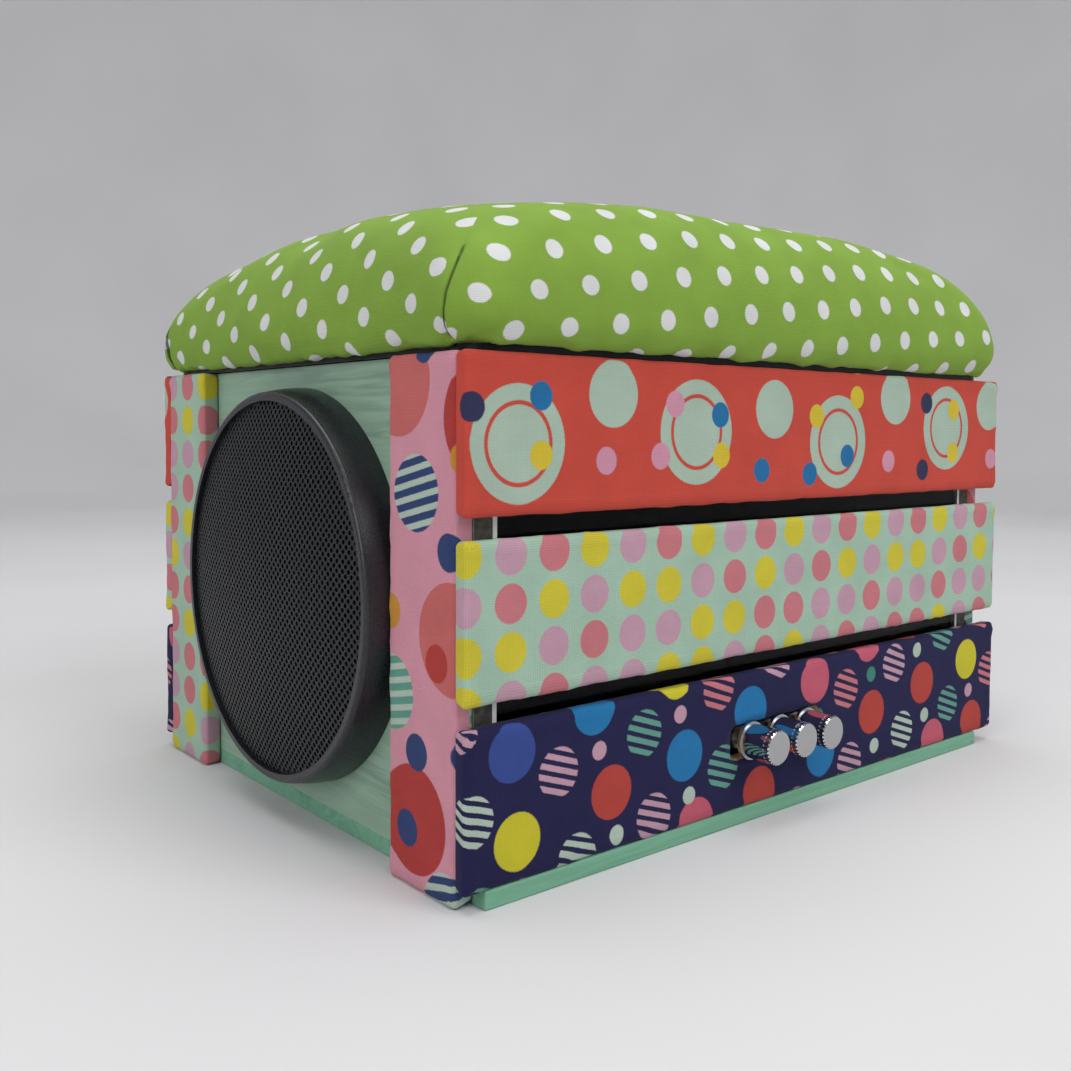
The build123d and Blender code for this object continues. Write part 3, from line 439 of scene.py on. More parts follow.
def wrapped_cover(board, out, cloth, settings):
    """A cut of cloth pulled over a board and turned round its edges to a hem on the hidden side.

    The profile runs from the hem's edge on the hidden side, round the board's edge and over to the face. The
    cloth lies fuller at the corners, where a folded layer stands out by up to 1.4 mm, and it is pressed flat
    where it would reach the floor or the closed lid.
    """
    low, high = (np.array(corner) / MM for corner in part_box(f"{board}_cover"))
    up = np.array((0, 0, 1))
    axes = np.array([np.cross(up, out), up, out])
    *sides, depth = np.abs(axes) @ (high - low)
    corner = COVER_ROUNDING + 0.4
    bend = np.linspace(0, pi / 2, 5)
    sine, cosine = COVER_ROUNDING * (1 - np.sin(bend)), COVER_ROUNDING * (1 - np.cos(bend))
    profile = [(COVER_HEM, 0), (COVER_HEM - 4.5, 0), *zip(sine, cosine), *zip(cosine, depth - sine),
               (COVER_ROUNDING + 3, depth)]
    samples = [side_places(max(6, int(value / 9)), 5) for value in sides]
    points, faces, places = wrapped_form(*sides, [(*row, corner, 0) for row in profile], samples)
    half = np.array(sides) / 2
    beyond = np.abs(points[:, :2]) - half
    full = np.clip((np.hypot(*np.maximum(beyond + 9, 0).T) - 5) / 5, 0, 1) * 0.9
    swell = full * (1 + waves(points, (7, 13), len(board))) + 0.32 * waves(points, (24, 47), 7)
    edge = swell * np.clip(points[:, 2] / depth, 0, 1)
    points[:, :2] += np.sign(points[:, :2]) * edge[:, None] * (beyond > -2.2)
    points[:, 2] += np.where(points[:, 2] > depth - 0.1, swell, 0)
    world = points @ axes + (low + high) / 2 - depth / 2 * axes[2]
    world[:, 2] = np.clip(world[:, 2], *COVER_HEIGHTS)
    piece = mesh_piece(f"{board}_cover_fabric", world, faces, cloth, places)
    modified(piece, ("SOLIDIFY", {"thickness": settings.fabric_thickness, "offset": -1.0}))
    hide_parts(f"{board}_cover")
    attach(piece, "crate")
    return piece


def cut_through(piece, cutter):
    """Cut a closed form out of a piece and remove the cutter."""
    modified(piece, ("BOOLEAN", {"object": cutter, "operation": "DIFFERENCE", "solver": "EXACT"}))
    bpy.data.objects.remove(cutter)


def prism(outline, near, far, material):
    """A closed form from an outline in x and z, between two places along y."""
    count = len(outline)
    step = np.arange(count)
    following = (step + 1) % count
    sides = np.stack([step + count, following + count, following, step], 1)
    ends = [np.insert(outline, 1, y, axis=1) for y in (near, far)]
    return mesh_piece("cutter", np.concatenate(ends), [*sides, step, (step + count)[::-1]], material,
                      smooth=False)


def rounded_outline(middle, size, corner):
    """A rounded rectangle as points, eight to a corner: corner middles plus corner (cos a, sin a)."""
    quarter = np.repeat(np.arange(4), 8)
    turn = quarter * (pi / 2) + np.tile(np.linspace(0, pi / 2, 8), 4)
    way = np.array([(1, 1), (-1, 1), (-1, -1), (1, -1)])[quarter]
    bend = np.column_stack([np.cos(turn), np.sin(turn)])
    return np.array(middle) + way * (np.array(size) / 2 - corner) + corner * bend


# Lid cushion

def smooth_rows(table, count):
    """Rows at even steps along a table, by Hermite curves h00 p0 + h10 m0 + h01 p1 + h11 m1 between its rows."""
    table = np.array(table, float)
    run = np.append(0, np.cumsum(np.hypot(np.diff(table[:, 0]), np.diff(table[:, 1]))))
    slopes = np.gradient(table, run, axis=0)
    at = np.linspace(0, run[-1], count)
    k = np.clip(np.searchsorted(run, at) - 1, 0, len(run) - 2)
    h = (run[k + 1] - run[k])[:, None]
    s = (at - run[k])[:, None] / h
    return (table[k] * (2 * s ** 3 - 3 * s ** 2 + 1) + slopes[k] * h * (s ** 3 - 2 * s ** 2 + s)
            + table[k + 1] * (3 * s ** 2 - 2 * s ** 3) + slopes[k + 1] * h * (s ** 3 - s ** 2))


def blown_up(points, faces, pinned, pressure):
    """Where the cloth settles when the foam presses it outwards from inside, held along its hem."""
    cloth = mesh_piece("settling_cloth", points, faces, smooth=False)
    group = cloth.vertex_groups.new(name="hem")
    group.add(pinned.tolist(), 1.0, "REPLACE")
    modifier = cloth.modifiers.new("Cloth", "CLOTH")
    rules = modifier.settings
    rules.vertex_group_mass = group.name
    rules.quality, rules.mass, rules.air_damping = 6, 0.25, 4.0
    rules.tension_stiffness = rules.compression_stiffness = 40
    rules.shear_stiffness, rules.bending_stiffness = 15, 1.2
    rules.use_pressure, rules.uniform_pressure_force = True, pressure
    rules.shrink_min = rules.shrink_max = -LID_LET_OUT
    rules.effector_weights.gravity = 0
    modifier.collision_settings.use_collision = False
    modifier.point_cache.frame_end = LID_FRAMES
    scene = bpy.context.scene
    for number in range(1, LID_FRAMES + 1):
        scene.frame_set(number)
    settled = all_points(cloth.evaluated_get(bpy.context.evaluated_depsgraph_get()).data)
    bpy.data.objects.remove(cloth)
    scene.frame_set(1)
    return settled


def make_cushion(settings, cloth):
    """The padded lid: cloth over foam, turned in below the board to a hem, with a folded seam at each corner.

    The outside follows the measured side profile and a crown
    z = edge + rise ((1 - x^2/a^2)(1 - y^2/b^2))^0.8, leans by LID_LEAN mm per mm of its height's share along x
    and y, and droops by LID_DROOP at the corners. Below, the form draws in round the board and its hem. The cloth
    is let out by 1.2 per cent and pressed out from inside until it settles, its shift is held to 1.4 mm, and the
    form is then subdivided. At each corner, with q the distance from the fold, the front panel laps the end panel
    by a step exp(q/9) and the fold draws in by exp(-(q/1.3)^2). The lower edge is tucked, gathers at the corners
    and hangs unevenly by up to 1.6 mm.
    """
    rise = LID_CROWN - LID_BOTTOM
    side = smooth_rows([(inset, LID_BOTTOM + share * rise, *rest) for share, inset, *rest in LID_SIDE], 15)
    inside = [(inset, height, LID_INSIDE_CORNER, 0) for inset, height in LID_INSIDE]
    samples = [side_places(14, 3), side_places(11, 3)]
    points, faces, places = wrapped_form(*LID_SIZE, inside + side.tolist(), samples, closed_below=True)
    around = 2 * (sum(len(part) for part in samples) - 2)
    start, edge = len(inside) * around, (len(inside) + len(side)) * around
    stop = edge + (len(samples[0]) - 2) * (len(samples[1]) - 2)
    outline = np.array(LID_SIZE) / 2
    crown = points[edge:stop]
    dome = np.prod(1 - (crown[:, :2] / (outline - side[-1, 0])) ** 2, 1) ** 0.8
    crown[:, 2] += (LID_CROWN - side[-1, 1]) * dome
    height = np.clip((points[:, 2] - LID_BOTTOM) / rise, 0, 1)
    corner = np.clip((np.abs(points[:, :2]) - outline) / LID_DROOP_REACH + 1, 0, 1).prod(1)
    points[:, 2] += height * (points[:, :2] @ LID_LEAN - LID_DROOP * corner)
    seam = np.abs(points[start:edge].reshape(-1, around, 3)[:, len(samples[0]) - 1])
    chosen = faces[((faces >= start) & (faces < stop)).all(1)] - start
    shift = blown_up(points[start:stop], chosen, np.arange(2 * around), settings.cushion_pressure)
    shift -= points[start:stop]
    far = np.linalg.norm(shift, axis=1, keepdims=True)
    points[start:stop] += shift * np.minimum(1, LID_SHIFT / np.maximum(far, 1e-6))
    piece = mesh_piece("lid_cushion", points, faces, cloth, places)
    modified(piece, ("SUBSURF", {"levels": 2, "render_levels": 2, "uv_smooth": "NONE", "boundary_smooth": "ALL"}))
    points = all_points(piece.data)
    plan = np.abs(points[:, :2]) - outline
    fold = (seam[:, 0] - seam[:, 1] - outline[0] + outline[1]) / np.sqrt(2)
    q = (plan[:, 0] - plan[:, 1]) / np.sqrt(2) - np.interp(points[:, 2], seam[:, 2], fold)
    outer = (points[:, 2] > LID_BOTTOM + 0.5) & (plan.max(1) > -48)
    outer &= (points[:, 2] > LID_BOARD_TOP + 3) | (plan.max(1) > -7.5)
    height = (points[:, 2] - LID_BOTTOM) / rise
    near = np.clip((plan.min(1) + 72) / 22, 0, 1) * np.clip((0.62 - height) / 0.1, 0, 1) * outer
    step = 1.1 * np.exp(np.minimum(q, 0) / 9) * (q < 0.2) - 0.15
    groove = -settings.seam_depth / MM * np.exp(-(q / 1.3) ** 2)
    ripple = waves(points[:, :2], (11, 19, 31), 5)
    above = np.maximum(height, 0)
    tucks = 1.2 * ripple * np.exp(-height / 0.09)
    tucks += 1.6 * waves(points, (10, 17), 8) * np.exp(-above / 0.2 - np.abs(q) / 16)
    gathers = waves(points[:, :2], (9, 13, 20), 9) * np.clip(plan / 75 + 1, 0, 1).prod(1)
    tucks += 2.2 * gathers * np.exp(-above / 0.35)
    hang = np.clip(0.35 + 0.7 * (q > 0) + 2 * ripple, 0, 1.6) * np.clip((0.06 - height) / 0.03, 0, 1)
    points[:, 2] -= hang * (plan.max(1) > -9)
    # Distance from the corner fold, which sets the painted shade along it.
    painted_seam_shade_distance = piece.data.attributes.new("painted_seam_shade_distance", "FLOAT", "POINT")
    painted_seam_shade_distance.data.foreach_set("value", (np.abs(q) + 4 * (1 - near)).astype(np.float32))
    normals = np.empty(points.size)
    piece.data.vertices.foreach_get("normal", normals)
    points += normals.reshape(-1, 3) * ((step + groove) * near + tucks * outer)[:, None]
    piece.data.vertices.foreach_set("co", (points * MM).astype(np.float32).ravel())
    piece.data.update()
    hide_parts("lid_cover", "lid_foam")
    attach(piece, "lid")


# Grilles and drivers

def perforated_dome(side, out, settings, material):
    """A domed round sheet with holes on a square lattice turned by 45 degrees, as a grid of holed cells.

    Each cell is a square round an octagonal hole. Those at the edge are whole and drawn in to the circle. The
    sheet stands out by z = crown - (R - sqrt(R^2 - r^2)), with R = (edge^2 + rise^2) / (2 rise). It is 0.8 mm
    thick.
    """
    low, high = (np.array(corner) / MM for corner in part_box(f"{side}_grille_mesh"))
    crown = np.abs([low[0], high[0]]).max()
    edge = (high[1] - low[1]) / 2
    pitch, hole = settings.hole_pitch / MM, settings.hole_size / MM / 2
    count = int(edge * 1.5 / pitch) + 2
    line = np.arange(-count, count + 1)
    centres = np.column_stack([part.ravel() for part in np.meshgrid(line, line)]) * pitch
    square = np.array([(1, 0), (1, 1), (0, 1), (-1, 1), (-1, 0), (-1, -1), (0, -1), (1, -1)]) * pitch / 2
    turn = np.arange(8) * pi / 4
    octagon = hole * np.column_stack([np.cos(turn), np.sin(turn)])
    far = np.hypot(*centres.T)
    border = edge - GRILLE_BORDER
    rings = centres[far < border][:, None] + np.concatenate([square, octagon])
    plates = centres[(far >= border) & (far < edge + pitch)][:, None] + np.concatenate([square, [(0, 0)]])
    step = np.arange(8)
    following = (step + 1) % 8
    ring_faces = np.stack([step, following, following + 8, step + 8], 1)
    plate_faces = np.array([(8, 0, 1, 2), (8, 2, 3, 4), (8, 4, 5, 6), (8, 6, 7, 0)])
    faces = np.concatenate([
        (np.arange(len(rings))[:, None, None] * 16 + ring_faces).reshape(-1, 4),
        (np.arange(len(plates))[:, None, None] * 9 + plate_faces).reshape(-1, 4) + len(rings) * 16])
    flat = np.concatenate([rings.reshape(-1, 2), plates.reshape(-1, 2)])
    _, first, same = np.unique(np.round(flat * 500).astype(int), axis=0, return_index=True, return_inverse=True)
    flat, faces = flat[first], same.reshape(-1)[faces]
    r = np.hypot(*flat.T)
    faces = faces[(r[faces] < edge - 1e-6).any(1)]
    flat *= np.minimum(1, edge / np.maximum(r, 1e-6))[:, None]
    used, faces = np.unique(faces, return_inverse=True)
    across, up = (flat[used] @ np.array([[1, 1], [-1, 1]]) / np.sqrt(2)).T
    ball = (edge ** 2 + GRILLE_RISE ** 2) / (2 * GRILLE_RISE)
    stand = crown - ball + np.sqrt(ball ** 2 - np.minimum(np.hypot(across, up), edge) ** 2)
    world = np.column_stack([out * stand, out * across, up]) + (0, *(low + high)[1:] / 2)
    piece = mesh_piece(f"{side}_grille_perforated_sheet", world, faces.reshape(-1, 4), material, smooth=False)
    modified(piece, ("SOLIDIFY", {"thickness": GRILLE_THICKNESS * MM, "offset": -1.0}))
    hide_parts(f"{side}_grille_mesh")
    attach(piece, "crate")


def flexing_suspension(side, material):
    """Cut a driver's surround and spider into sectors, each a piece of its own.

    The mesh of the CAD piece is cut by planes through the axis into sectors, and the faces of each sector that
    lie between a part's radii become one piece.
    """
    sector = 2 * pi / SECTORS
    axis = np.array((0, 0, SPEAKER_AXIS))
    cut = bmesh.new()
    cut.from_mesh(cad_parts[f"{side}_suspension"].data)
    for angle in sector * (np.arange(SECTORS // 2) + 0.5):
        bmesh.ops.bisect_plane(cut, geom=cut.verts[:] + cut.edges[:] + cut.faces[:], dist=1e-7,
                               plane_co=axis * MM, plane_no=(0, -sin(angle), cos(angle)))
    bmesh.ops.triangulate(cut, faces=cut.faces[:])
    cut.verts.index_update()
    points = np.array([vertex.co for vertex in cut.verts]) / MM
    faces = np.array([[vertex.index for vertex in face.verts] for face in cut.faces])
    cut.free()
    _, across, up = (points[faces].mean(1) - axis).T
    radii = np.hypot(across, up)
    sectors = np.rint(np.arctan2(up, across) / sector) % SECTORS
    for part, (nearest, furthest, first, last) in FLEXING.items():
        for number in range(SECTORS):
            own = faces[(sectors == number) & (radii > nearest) & (radii < furthest)]
            used, order = np.unique(own, return_inverse=True)
            piece = mesh_piece(f"{side}_{part}_{number + 1:02d}", points[used], order.reshape(own.shape), material,
                               smooth=False)
            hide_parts(f"{side}_suspension")
            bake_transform(piece)


# Finishes

def finish(name, light, dark, grain, rough, bump=0.0, along=(1, 1, 1), **shader):
    """A surface whose colour, gloss and height vary together with a noise, stretched along the way it was made."""
    material, add = new_tree(name)
    place = add("VectorMath", [in_millimetres(add), along], operation="MULTIPLY")
    mottle = add("TexNoise", {"Vector": place, "Scale": 1 / grain, "Detail": 4, "Distortion": 0.3})
    amount = add("MapRange", [mottle, 0.3, 0.7, 0, 1])
    sockets = {"Base Color": add("Mix", {0: amount, 6: dark, 7: light}, **COLOURS),
               "Roughness": add("MapRange", [mottle, 0.3, 0.7, *rough])}
    if bump:
        sockets["Normal"] = add("Bump", {"Height": mottle, "Distance": bump * MM})
    finish_tree(add, {**sockets, **shader})
    return material


def washed_wood(name, light, dark, grain_along, wear, front_rear_edge_colours=None):
    """Wood brushed with a thin mint wash: the grain shows through as darker lines and the brush leaves streaks.

    front_rear_edge_colours are the colours of the edges that face the front and the rear, which are darker.
    """
    material, add = new_tree(name)
    place = in_millimetres(add)
    long = add("VectorMath", [place, grain_along], operation="MULTIPLY")
    fine = add("TexNoise", {"Vector": long, "Scale": 1 / 3.2, "Detail": 5, "Distortion": 0.9})
    grain = add("MapRange", [fine, 0.38, 0.6, 0, 1])
    colour = add("Mix", {0: grain, 6: dark, 7: light}, **COLOURS)
    colour = add("Mix", {0: mottled(add, long, 14, 0, 1), 6: colour, 7: light}, **COLOURS)
    colour = add("Mix", {0: mottled(add, place, 55, 0, 0.3), 6: colour, 7: wear}, **COLOURS)
    # Darker colours on the edges that face the front and the rear.
    if front_rear_edge_colours:
        rough = add("Mix", {0: grain, 6: front_rear_edge_colours[0], 7: front_rear_edge_colours[1]}, **COLOURS)
        colour = add("Mix", {0: facing(add, 0.95), 6: colour, 7: rough}, **COLOURS)
    gloss = add("MapRange", [grain, 0, 1, 0.62, 0.5])
    bent = add("Bump", {"Height": grain, "Distance": 0.12 * MM, "Strength": 0.5})
    finish_tree(add, {"Base Color": colour, "Roughness": gloss, "Specular IOR Level": 0.35, "Normal": bent})
    return material


def sheet_with_painted_shade_and_end_highlight(name):
    """Clear acrylic, tinted grey as painted shade over the dark inside, with faces that mirror the room and cut
    ends painted pale as a highlight.

    The sheet shows almost black over the closed case, so its IOR is matched below that of bare acrylic, 1.49.
    """
    material, add = new_tree(name)
    place = in_millimetres(add)
    across = add("Math", [add("SeparateXYZ", [place])], operation="ABSOLUTE")
    end = add("MapRange", [across, SHEET_END - 0.3, SHEET_END, 0, 1])
    # The grey faces darken the inside seen through them as painted shade; the pale ends are a painted highlight.
    colour = add("Mix", {0: end, 6: "#6A706E", 7: "#D8DCD9"}, **COLOURS)
    rough = add("Math", [end, 0.5, mottled(add, place, 45, 0.015, 0.05, 3)], operation="MULTIPLY_ADD")
    clear = add("MapRange", [end, 0, 1, 1, 0])
    finish_tree(add, {"Base Color": colour, "IOR": 1.15, "Roughness": rough, "Specular IOR Level": 0.1,
                       "Transmission Weight": clear})
    return material


def turned_metal(name, colour, face_colour):
    """Polished metal round its side, with a satin face whose fine marks run round its middle."""
    material, add = new_tree(name)
    flat = facing(add, 0.97)
    satin = mottled(add, in_millimetres(add), 0.5, 0.26, 0.36)
    rough = add("Math", [flat, satin, 0.06], operation="MULTIPLY_ADD")
    tone = add("Mix", {0: flat, 6: colour, 7: face_colour}, **COLOURS)
    finish_tree(add, {"Base Color": tone, "Metallic": 1.0, "Roughness": rough})
    return material


def dress(material, slot_name, *names):
    """Give CAD nodes their material."""
    for name in names:
        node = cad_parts[name]
        node.data.materials.clear()
        node.data.materials.append(material)


# Add-on

def length(name, description, default, low, high):
    """A length property in metres."""
    return bpy.props.FloatProperty(name=name, description=description, default=default, min=low, max=high,
                                   unit="LENGTH")


class CrateSettings(bpy.types.PropertyGroup):
    fabric_thickness: length("Fabric thickness", "Thickness of the cloth on the slats and posts",
                             0.0006, 0.0002, 0.002)
    lid_dot_pitch: length("Lid dot pitch", "Distance between the lid's dots in a row", 0.0248, 0.005, 0.1)
    lid_dot_row: length("Lid dot row", "Distance between the rows of the lid's dots", 0.0162, 0.005, 0.1)
    lid_dot_size: length("Lid dot size", "Diameter of the lid's dots", 0.0082, 0.001, 0.05)
    seam_depth: length("Seam depth", "How far the folded corner seams of the lid draw in", 0.0011, 0.0, 0.004)
    cushion_pressure: bpy.props.FloatProperty(
        name="Cushion pressure", description="How hard the lid's foam presses its cloth out", default=4.0, min=0.0,
        max=20.0)
    hole_pitch: length("Hole pitch", "Distance between neighbouring holes of the grilles", 0.00262, 0.001, 0.01)
    hole_size: length("Hole size", "Diameter of the holes of the grilles", 0.0020, 0.0005, 0.008)
    floor_colour: bpy.props.FloatVectorProperty(
        name="Floor colour", description="Colour of the studio's floor and backdrop", default=(0.62, 0.62, 0.63),
        min=0.0, max=1.0, size=3, subtype="COLOR")


class CRATE_OT_woodwork(bpy.types.Operator):
    """Finish the base, the end panels and the boards"""

    bl_idname = "crate.woodwork"
    bl_label = "Woodwork"

    def execute(self, context):
        # Thin mint stain on pine: the grain runs along the board as slightly darker green lines.
        dress(washed_wood("Mint_stained_pine_brushed", "#70A68A", "#5C9077", (0.06, 1, 1), "#79AC91"),
              "mint_wood", "base_board")
        # Greyed mint wash on the ends: paler where the wash is thick, with level brush streaks, and darker on the
        # edges that face the front and the rear.
        dress(washed_wood("Mint_washed_pine_ends", "#8BA894", "#6C8775", (1, 0.06, 1), "#93B09C",
                          front_rear_edge_colours=("#2E2C28", "#4A4640")),
              "mint_washed_wood", *(f"{side}_end_panel" for side in SIDES))
        # Bare planed poplar inside the cloth: pale, with a faint straight grain.
        bare = finish("Poplar_planed_bare", "#D9C29A", "#BFA276", 4, (0.6, 0.75), 0.1, (0.08, 1, 1))
        dress(bare, "bare_wood", "lid_board", *(f"{end}_{row}_slat" for end in ENDS for row in ROWS),
              *(f"{end}_{side}_post" for end in ENDS for side in SIDES))
        return {"FINISHED"}


class CRATE_OT_slat_covers(bpy.types.Operator):
    """Wrap the six slats in printed cloth"""

    bl_idname = "crate.slat_covers"
    bl_label = "Slat covers"

    def execute(self, context):
        settings = context.scene.crate_settings
        cloths = {"bottom": (navy_cloth(), "navy_dotted_fabric"), "middle": (mint_cloth(), "mint_dotted_fabric"),
                  "top": (red_cloth(), "red_dotted_fabric")}
        for end, way in ENDS.items():
            for row, (cloth, slot_name) in cloths.items():
                board = f"{end}_{row}_slat"
                piece = wrapped_cover(board, (0, way, 0), cloth, settings)
                if row == "bottom":
                    low, high = (np.array(corner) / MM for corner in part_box(f"{board}_cover"))
                    if end == "front":
                        outline = rounded_outline(SLOT_MIDDLE, SLOT_SIZE, SLOT_CORNER)
                    else:
                        near = all_points(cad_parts[f"{board}_cover"].data)[:, [0, 2]] - INLET_MIDDLE
                        size = 2 * np.hypot(*near.T).min()
                        outline = rounded_outline(INLET_MIDDLE, (size, size), size / 2 - 0.01)
                    cut_through(piece, prism(outline, low[1] - 2, high[1] + 2, cloth))
        return {"FINISHED"}


class CRATE_OT_post_covers(bpy.types.Operator):
    """Wrap the four posts in printed cloth"""

    bl_idname = "crate.post_covers"
    bl_label = "Post covers"

    def execute(self, context):
        settings = context.scene.crate_settings
        cloths = {"front": (pink_cloth(), "pink_dotted_fabric"), "rear": (mint_cloth(), "mint_dotted_fabric")}
        for end, (cloth, slot_name) in cloths.items():
            for side, way in SIDES.items():
                wrapped_cover(f"{end}_{side}_post", (way, 0, 0), cloth, settings)
        return {"FINISHED"}


class CRATE_OT_lid(bpy.types.Operator):
    """Make the padded lid and finish its lining"""

    bl_idname = "crate.lid"
    bl_label = "Lid"

    def execute(self, context):
        settings = context.scene.crate_settings
        make_cushion(settings, lid_cloth(settings))
        # Black coated lining: smooth and glossy, so it shows as the shiny dark line under the green edge.
        dress(finish("Black_vinyl_lining", "#0B0B0C", "#080809", 8, (0.3, 0.36),
                     **{"Specular IOR Level": 0.15}), "black_plastic", "lid_lining")
        return {"FINISHED"}


class CRATE_OT_hinges(bpy.types.Operator):
    """Finish the hinges and the screws"""

    bl_idname = "crate.hinges"
    bl_label = "Hinges and screws"

    def execute(self, context):
        # Brass plated steel hinges: warm, softly polished, a little dull in patches.
        dress(finish("Brass_plated_hinges_polished", "#CDAA5F", "#BD9850", 9, (0.24, 0.34), Metallic=1.0),
              "hinge_brass", "hinge_case_leaves", "hinge_lid_leaves", "hinge_pins", "lid_hinge_screws")
        # Blackened steel screws: near black with a dull sheen.
        dress(finish("Blackened_steel_screws", "#3A3A3C", "#1E1E20", 1.5, (0.3, 0.5), Metallic=0.8),
              "dark_screws", "case_screws")
        return {"FINISHED"}


class CRATE_OT_sheets(bpy.types.Operator):
    """Finish the clear front sheet and the black rear board"""

    bl_idname = "crate.sheets"
    bl_label = "Front and rear sheets"

    def execute(self, context):
        # Clear acrylic, tinted grey as painted shade, with a painted highlight on its ends.
        dress(sheet_with_painted_shade_and_end_highlight("Clear_acrylic_painted_shade_and_end_highlight"), "clear_sheet", "front_window")
        # Black painted hardboard: matt, with a fine fibre texture.
        dress(finish("Black_hardboard_painted", "#18191B", "#111213", 5, (0.6, 0.75), 0.04,
                     **{"Specular IOR Level": 0.25}), "black_sheet", "rear_panel")
        return {"FINISHED"}


class CRATE_OT_grilles(bpy.types.Operator):
    """Make the perforated grilles and finish their rings"""

    bl_idname = "crate.grilles"
    bl_label = "Grilles"

    def execute(self, context):
        settings = context.scene.crate_settings
        # Powder coated steel: soft black with a low sheen that gathers on the dome.
        coated = finish("Black_steel_perforated_powder_coated", "#1B1D20", "#131517", 0.7, (0.4, 0.55), 0.03,
                        **{"Specular IOR Level": 0.35})
        for side, out in SIDES.items():
            perforated_dome(side, out, settings, coated)
        # Moulded black plastic with a fine eroded texture.
        dress(finish("Black_plastic_moulded_textured", "#1E1F25", "#17181D", 0.5, (0.24, 0.36), 0.03),
              "grille_plastic", *(f"{side}_grille_ring" for side in SIDES))
        return {"FINISHED"}


class CRATE_OT_drivers(bpy.types.Operator):
    """Finish the two loudspeaker drivers"""

    bl_idname = "crate.drivers"
    bl_label = "Drivers"

    def execute(self, context):
        # Pressed steel baskets in smooth black paint.
        finishes = {
            "speaker_basket": (finish("Black_steel_pressed_painted", "#242527", "#1A1B1C", 6, (0.3, 0.42)),
                               "black_pressed_steel"),
            # Sintered ferrite between zinc plated plates: dark grey, slightly grainy.
            "magnet": (finish("Ferrite_sintered_ground", "#55575A", "#3A3B3D", 1.2, (0.45, 0.65), 0.05),
                       "magnet_steel"),
            # Pressed paper pulp: dark, fibrous and matt.
            "cone": (finish("Paper_pulp_cone_pressed", "#2B2A29", "#1D1C1C", 2.2, (0.75, 0.9), 0.12),
                     "cone_paper"),
            # Moulded plastic treble unit with a coated dome.
            "tweeter": (finish("Black_plastic_treble_unit", "#2A2B2D", "#1E1F20", 2, (0.25, 0.4)),
                        "tweeter_plastic")}
        for part, (material, slot_name) in finishes.items():
            dress(material, slot_name, *(f"{side}_{part}" for side in SIDES))
        # Moulded rubber surround: smooth and dark with a soft sheen.
        rubber = finish("Rubber_moulded_surround", "#202021", "#161617", 3, (0.45, 0.6), 0.03)
        for side in SIDES:
            flexing_suspension(side, rubber)
        return {"FINISHED"}


class CRATE_OT_controls(bpy.types.Operator):
    """Finish the knobs, their shafts and potentiometers"""

    bl_idname = "crate.controls"
    bl_label = "Controls"

    def execute(self, context):
        names = ("volume", "bass", "treble")
        # Polished aluminium side that mirrors the room, and a pale satin face.
        dress(turned_metal("Aluminium_turned_polished", "#C9CACC", "#B2B3B5"), "knob_metal",
              *(f"{name}_knob" for name in names))
        # Drawn steel shafts with fine turning marks.
        dress(finish("Steel_shaft_drawn", "#B9BABC", "#9C9DA0", 0.8, (0.2, 0.35), along=(1, 6, 1), Metallic=1.0),
              "steel_shaft", *(f"{name}_shaft" for name in names))
        # Zinc plated potentiometer cases: cool grey, patchy shine.
        dress(finish("Zinc_plated_steel_pressed", "#B4B8BA", "#94989B", 3, (0.3, 0.5), Metallic=0.9),
              "plated_controls", "potentiometers")
        return {"FINISHED"}


class CRATE_OT_electronics(bpy.types.Operator):
    """Finish the amplifier, battery, inlet and leads"""

    bl_idname = "crate.electronics"
    bl_label = "Electronics"

    def execute(self, context):
        # Green solder mask over copper: the tracks show as slightly lighter green.
        dress(finish("Circuit_board_solder_mask", "#2F7A4B", "#1F5C37", 2.4, (0.25, 0.4), 0.02), "circuit_board",
              "amplifier_board")
        # Anodised heatsink and moulded cases: dark grey, satin.
        dress(finish("Electronic_parts_anodised_dark", "#4A4C50", "#2E3033", 2, (0.35, 0.5)), "board_parts",
              "amplifier_parts")
        # Heat shrunk film round the cells: blue, glossy, with soft wrinkles.
        dress(finish("Battery_heat_shrunk_film", "#2F6FB0", "#25598F", 7, (0.15, 0.3), 0.25), "battery_wrap",
              "battery_pack")
        # Moulded nylon inlet: black, fine texture.
        dress(finish("Black_nylon_moulded", "#232325", "#1A1A1C", 0.6, (0.4, 0.5), 0.03), "black_plastic",
              "power_inlet")
        # Extruded insulation on the leads: red, smooth, slightly waxy.
        dress(finish("Lead_insulation_extruded", "#A33030", "#8C2626", 6, (0.35, 0.45), along=(1, 0.2, 1)),
              "lead_insulation", "internal_leads")
        return {"FINISHED"}


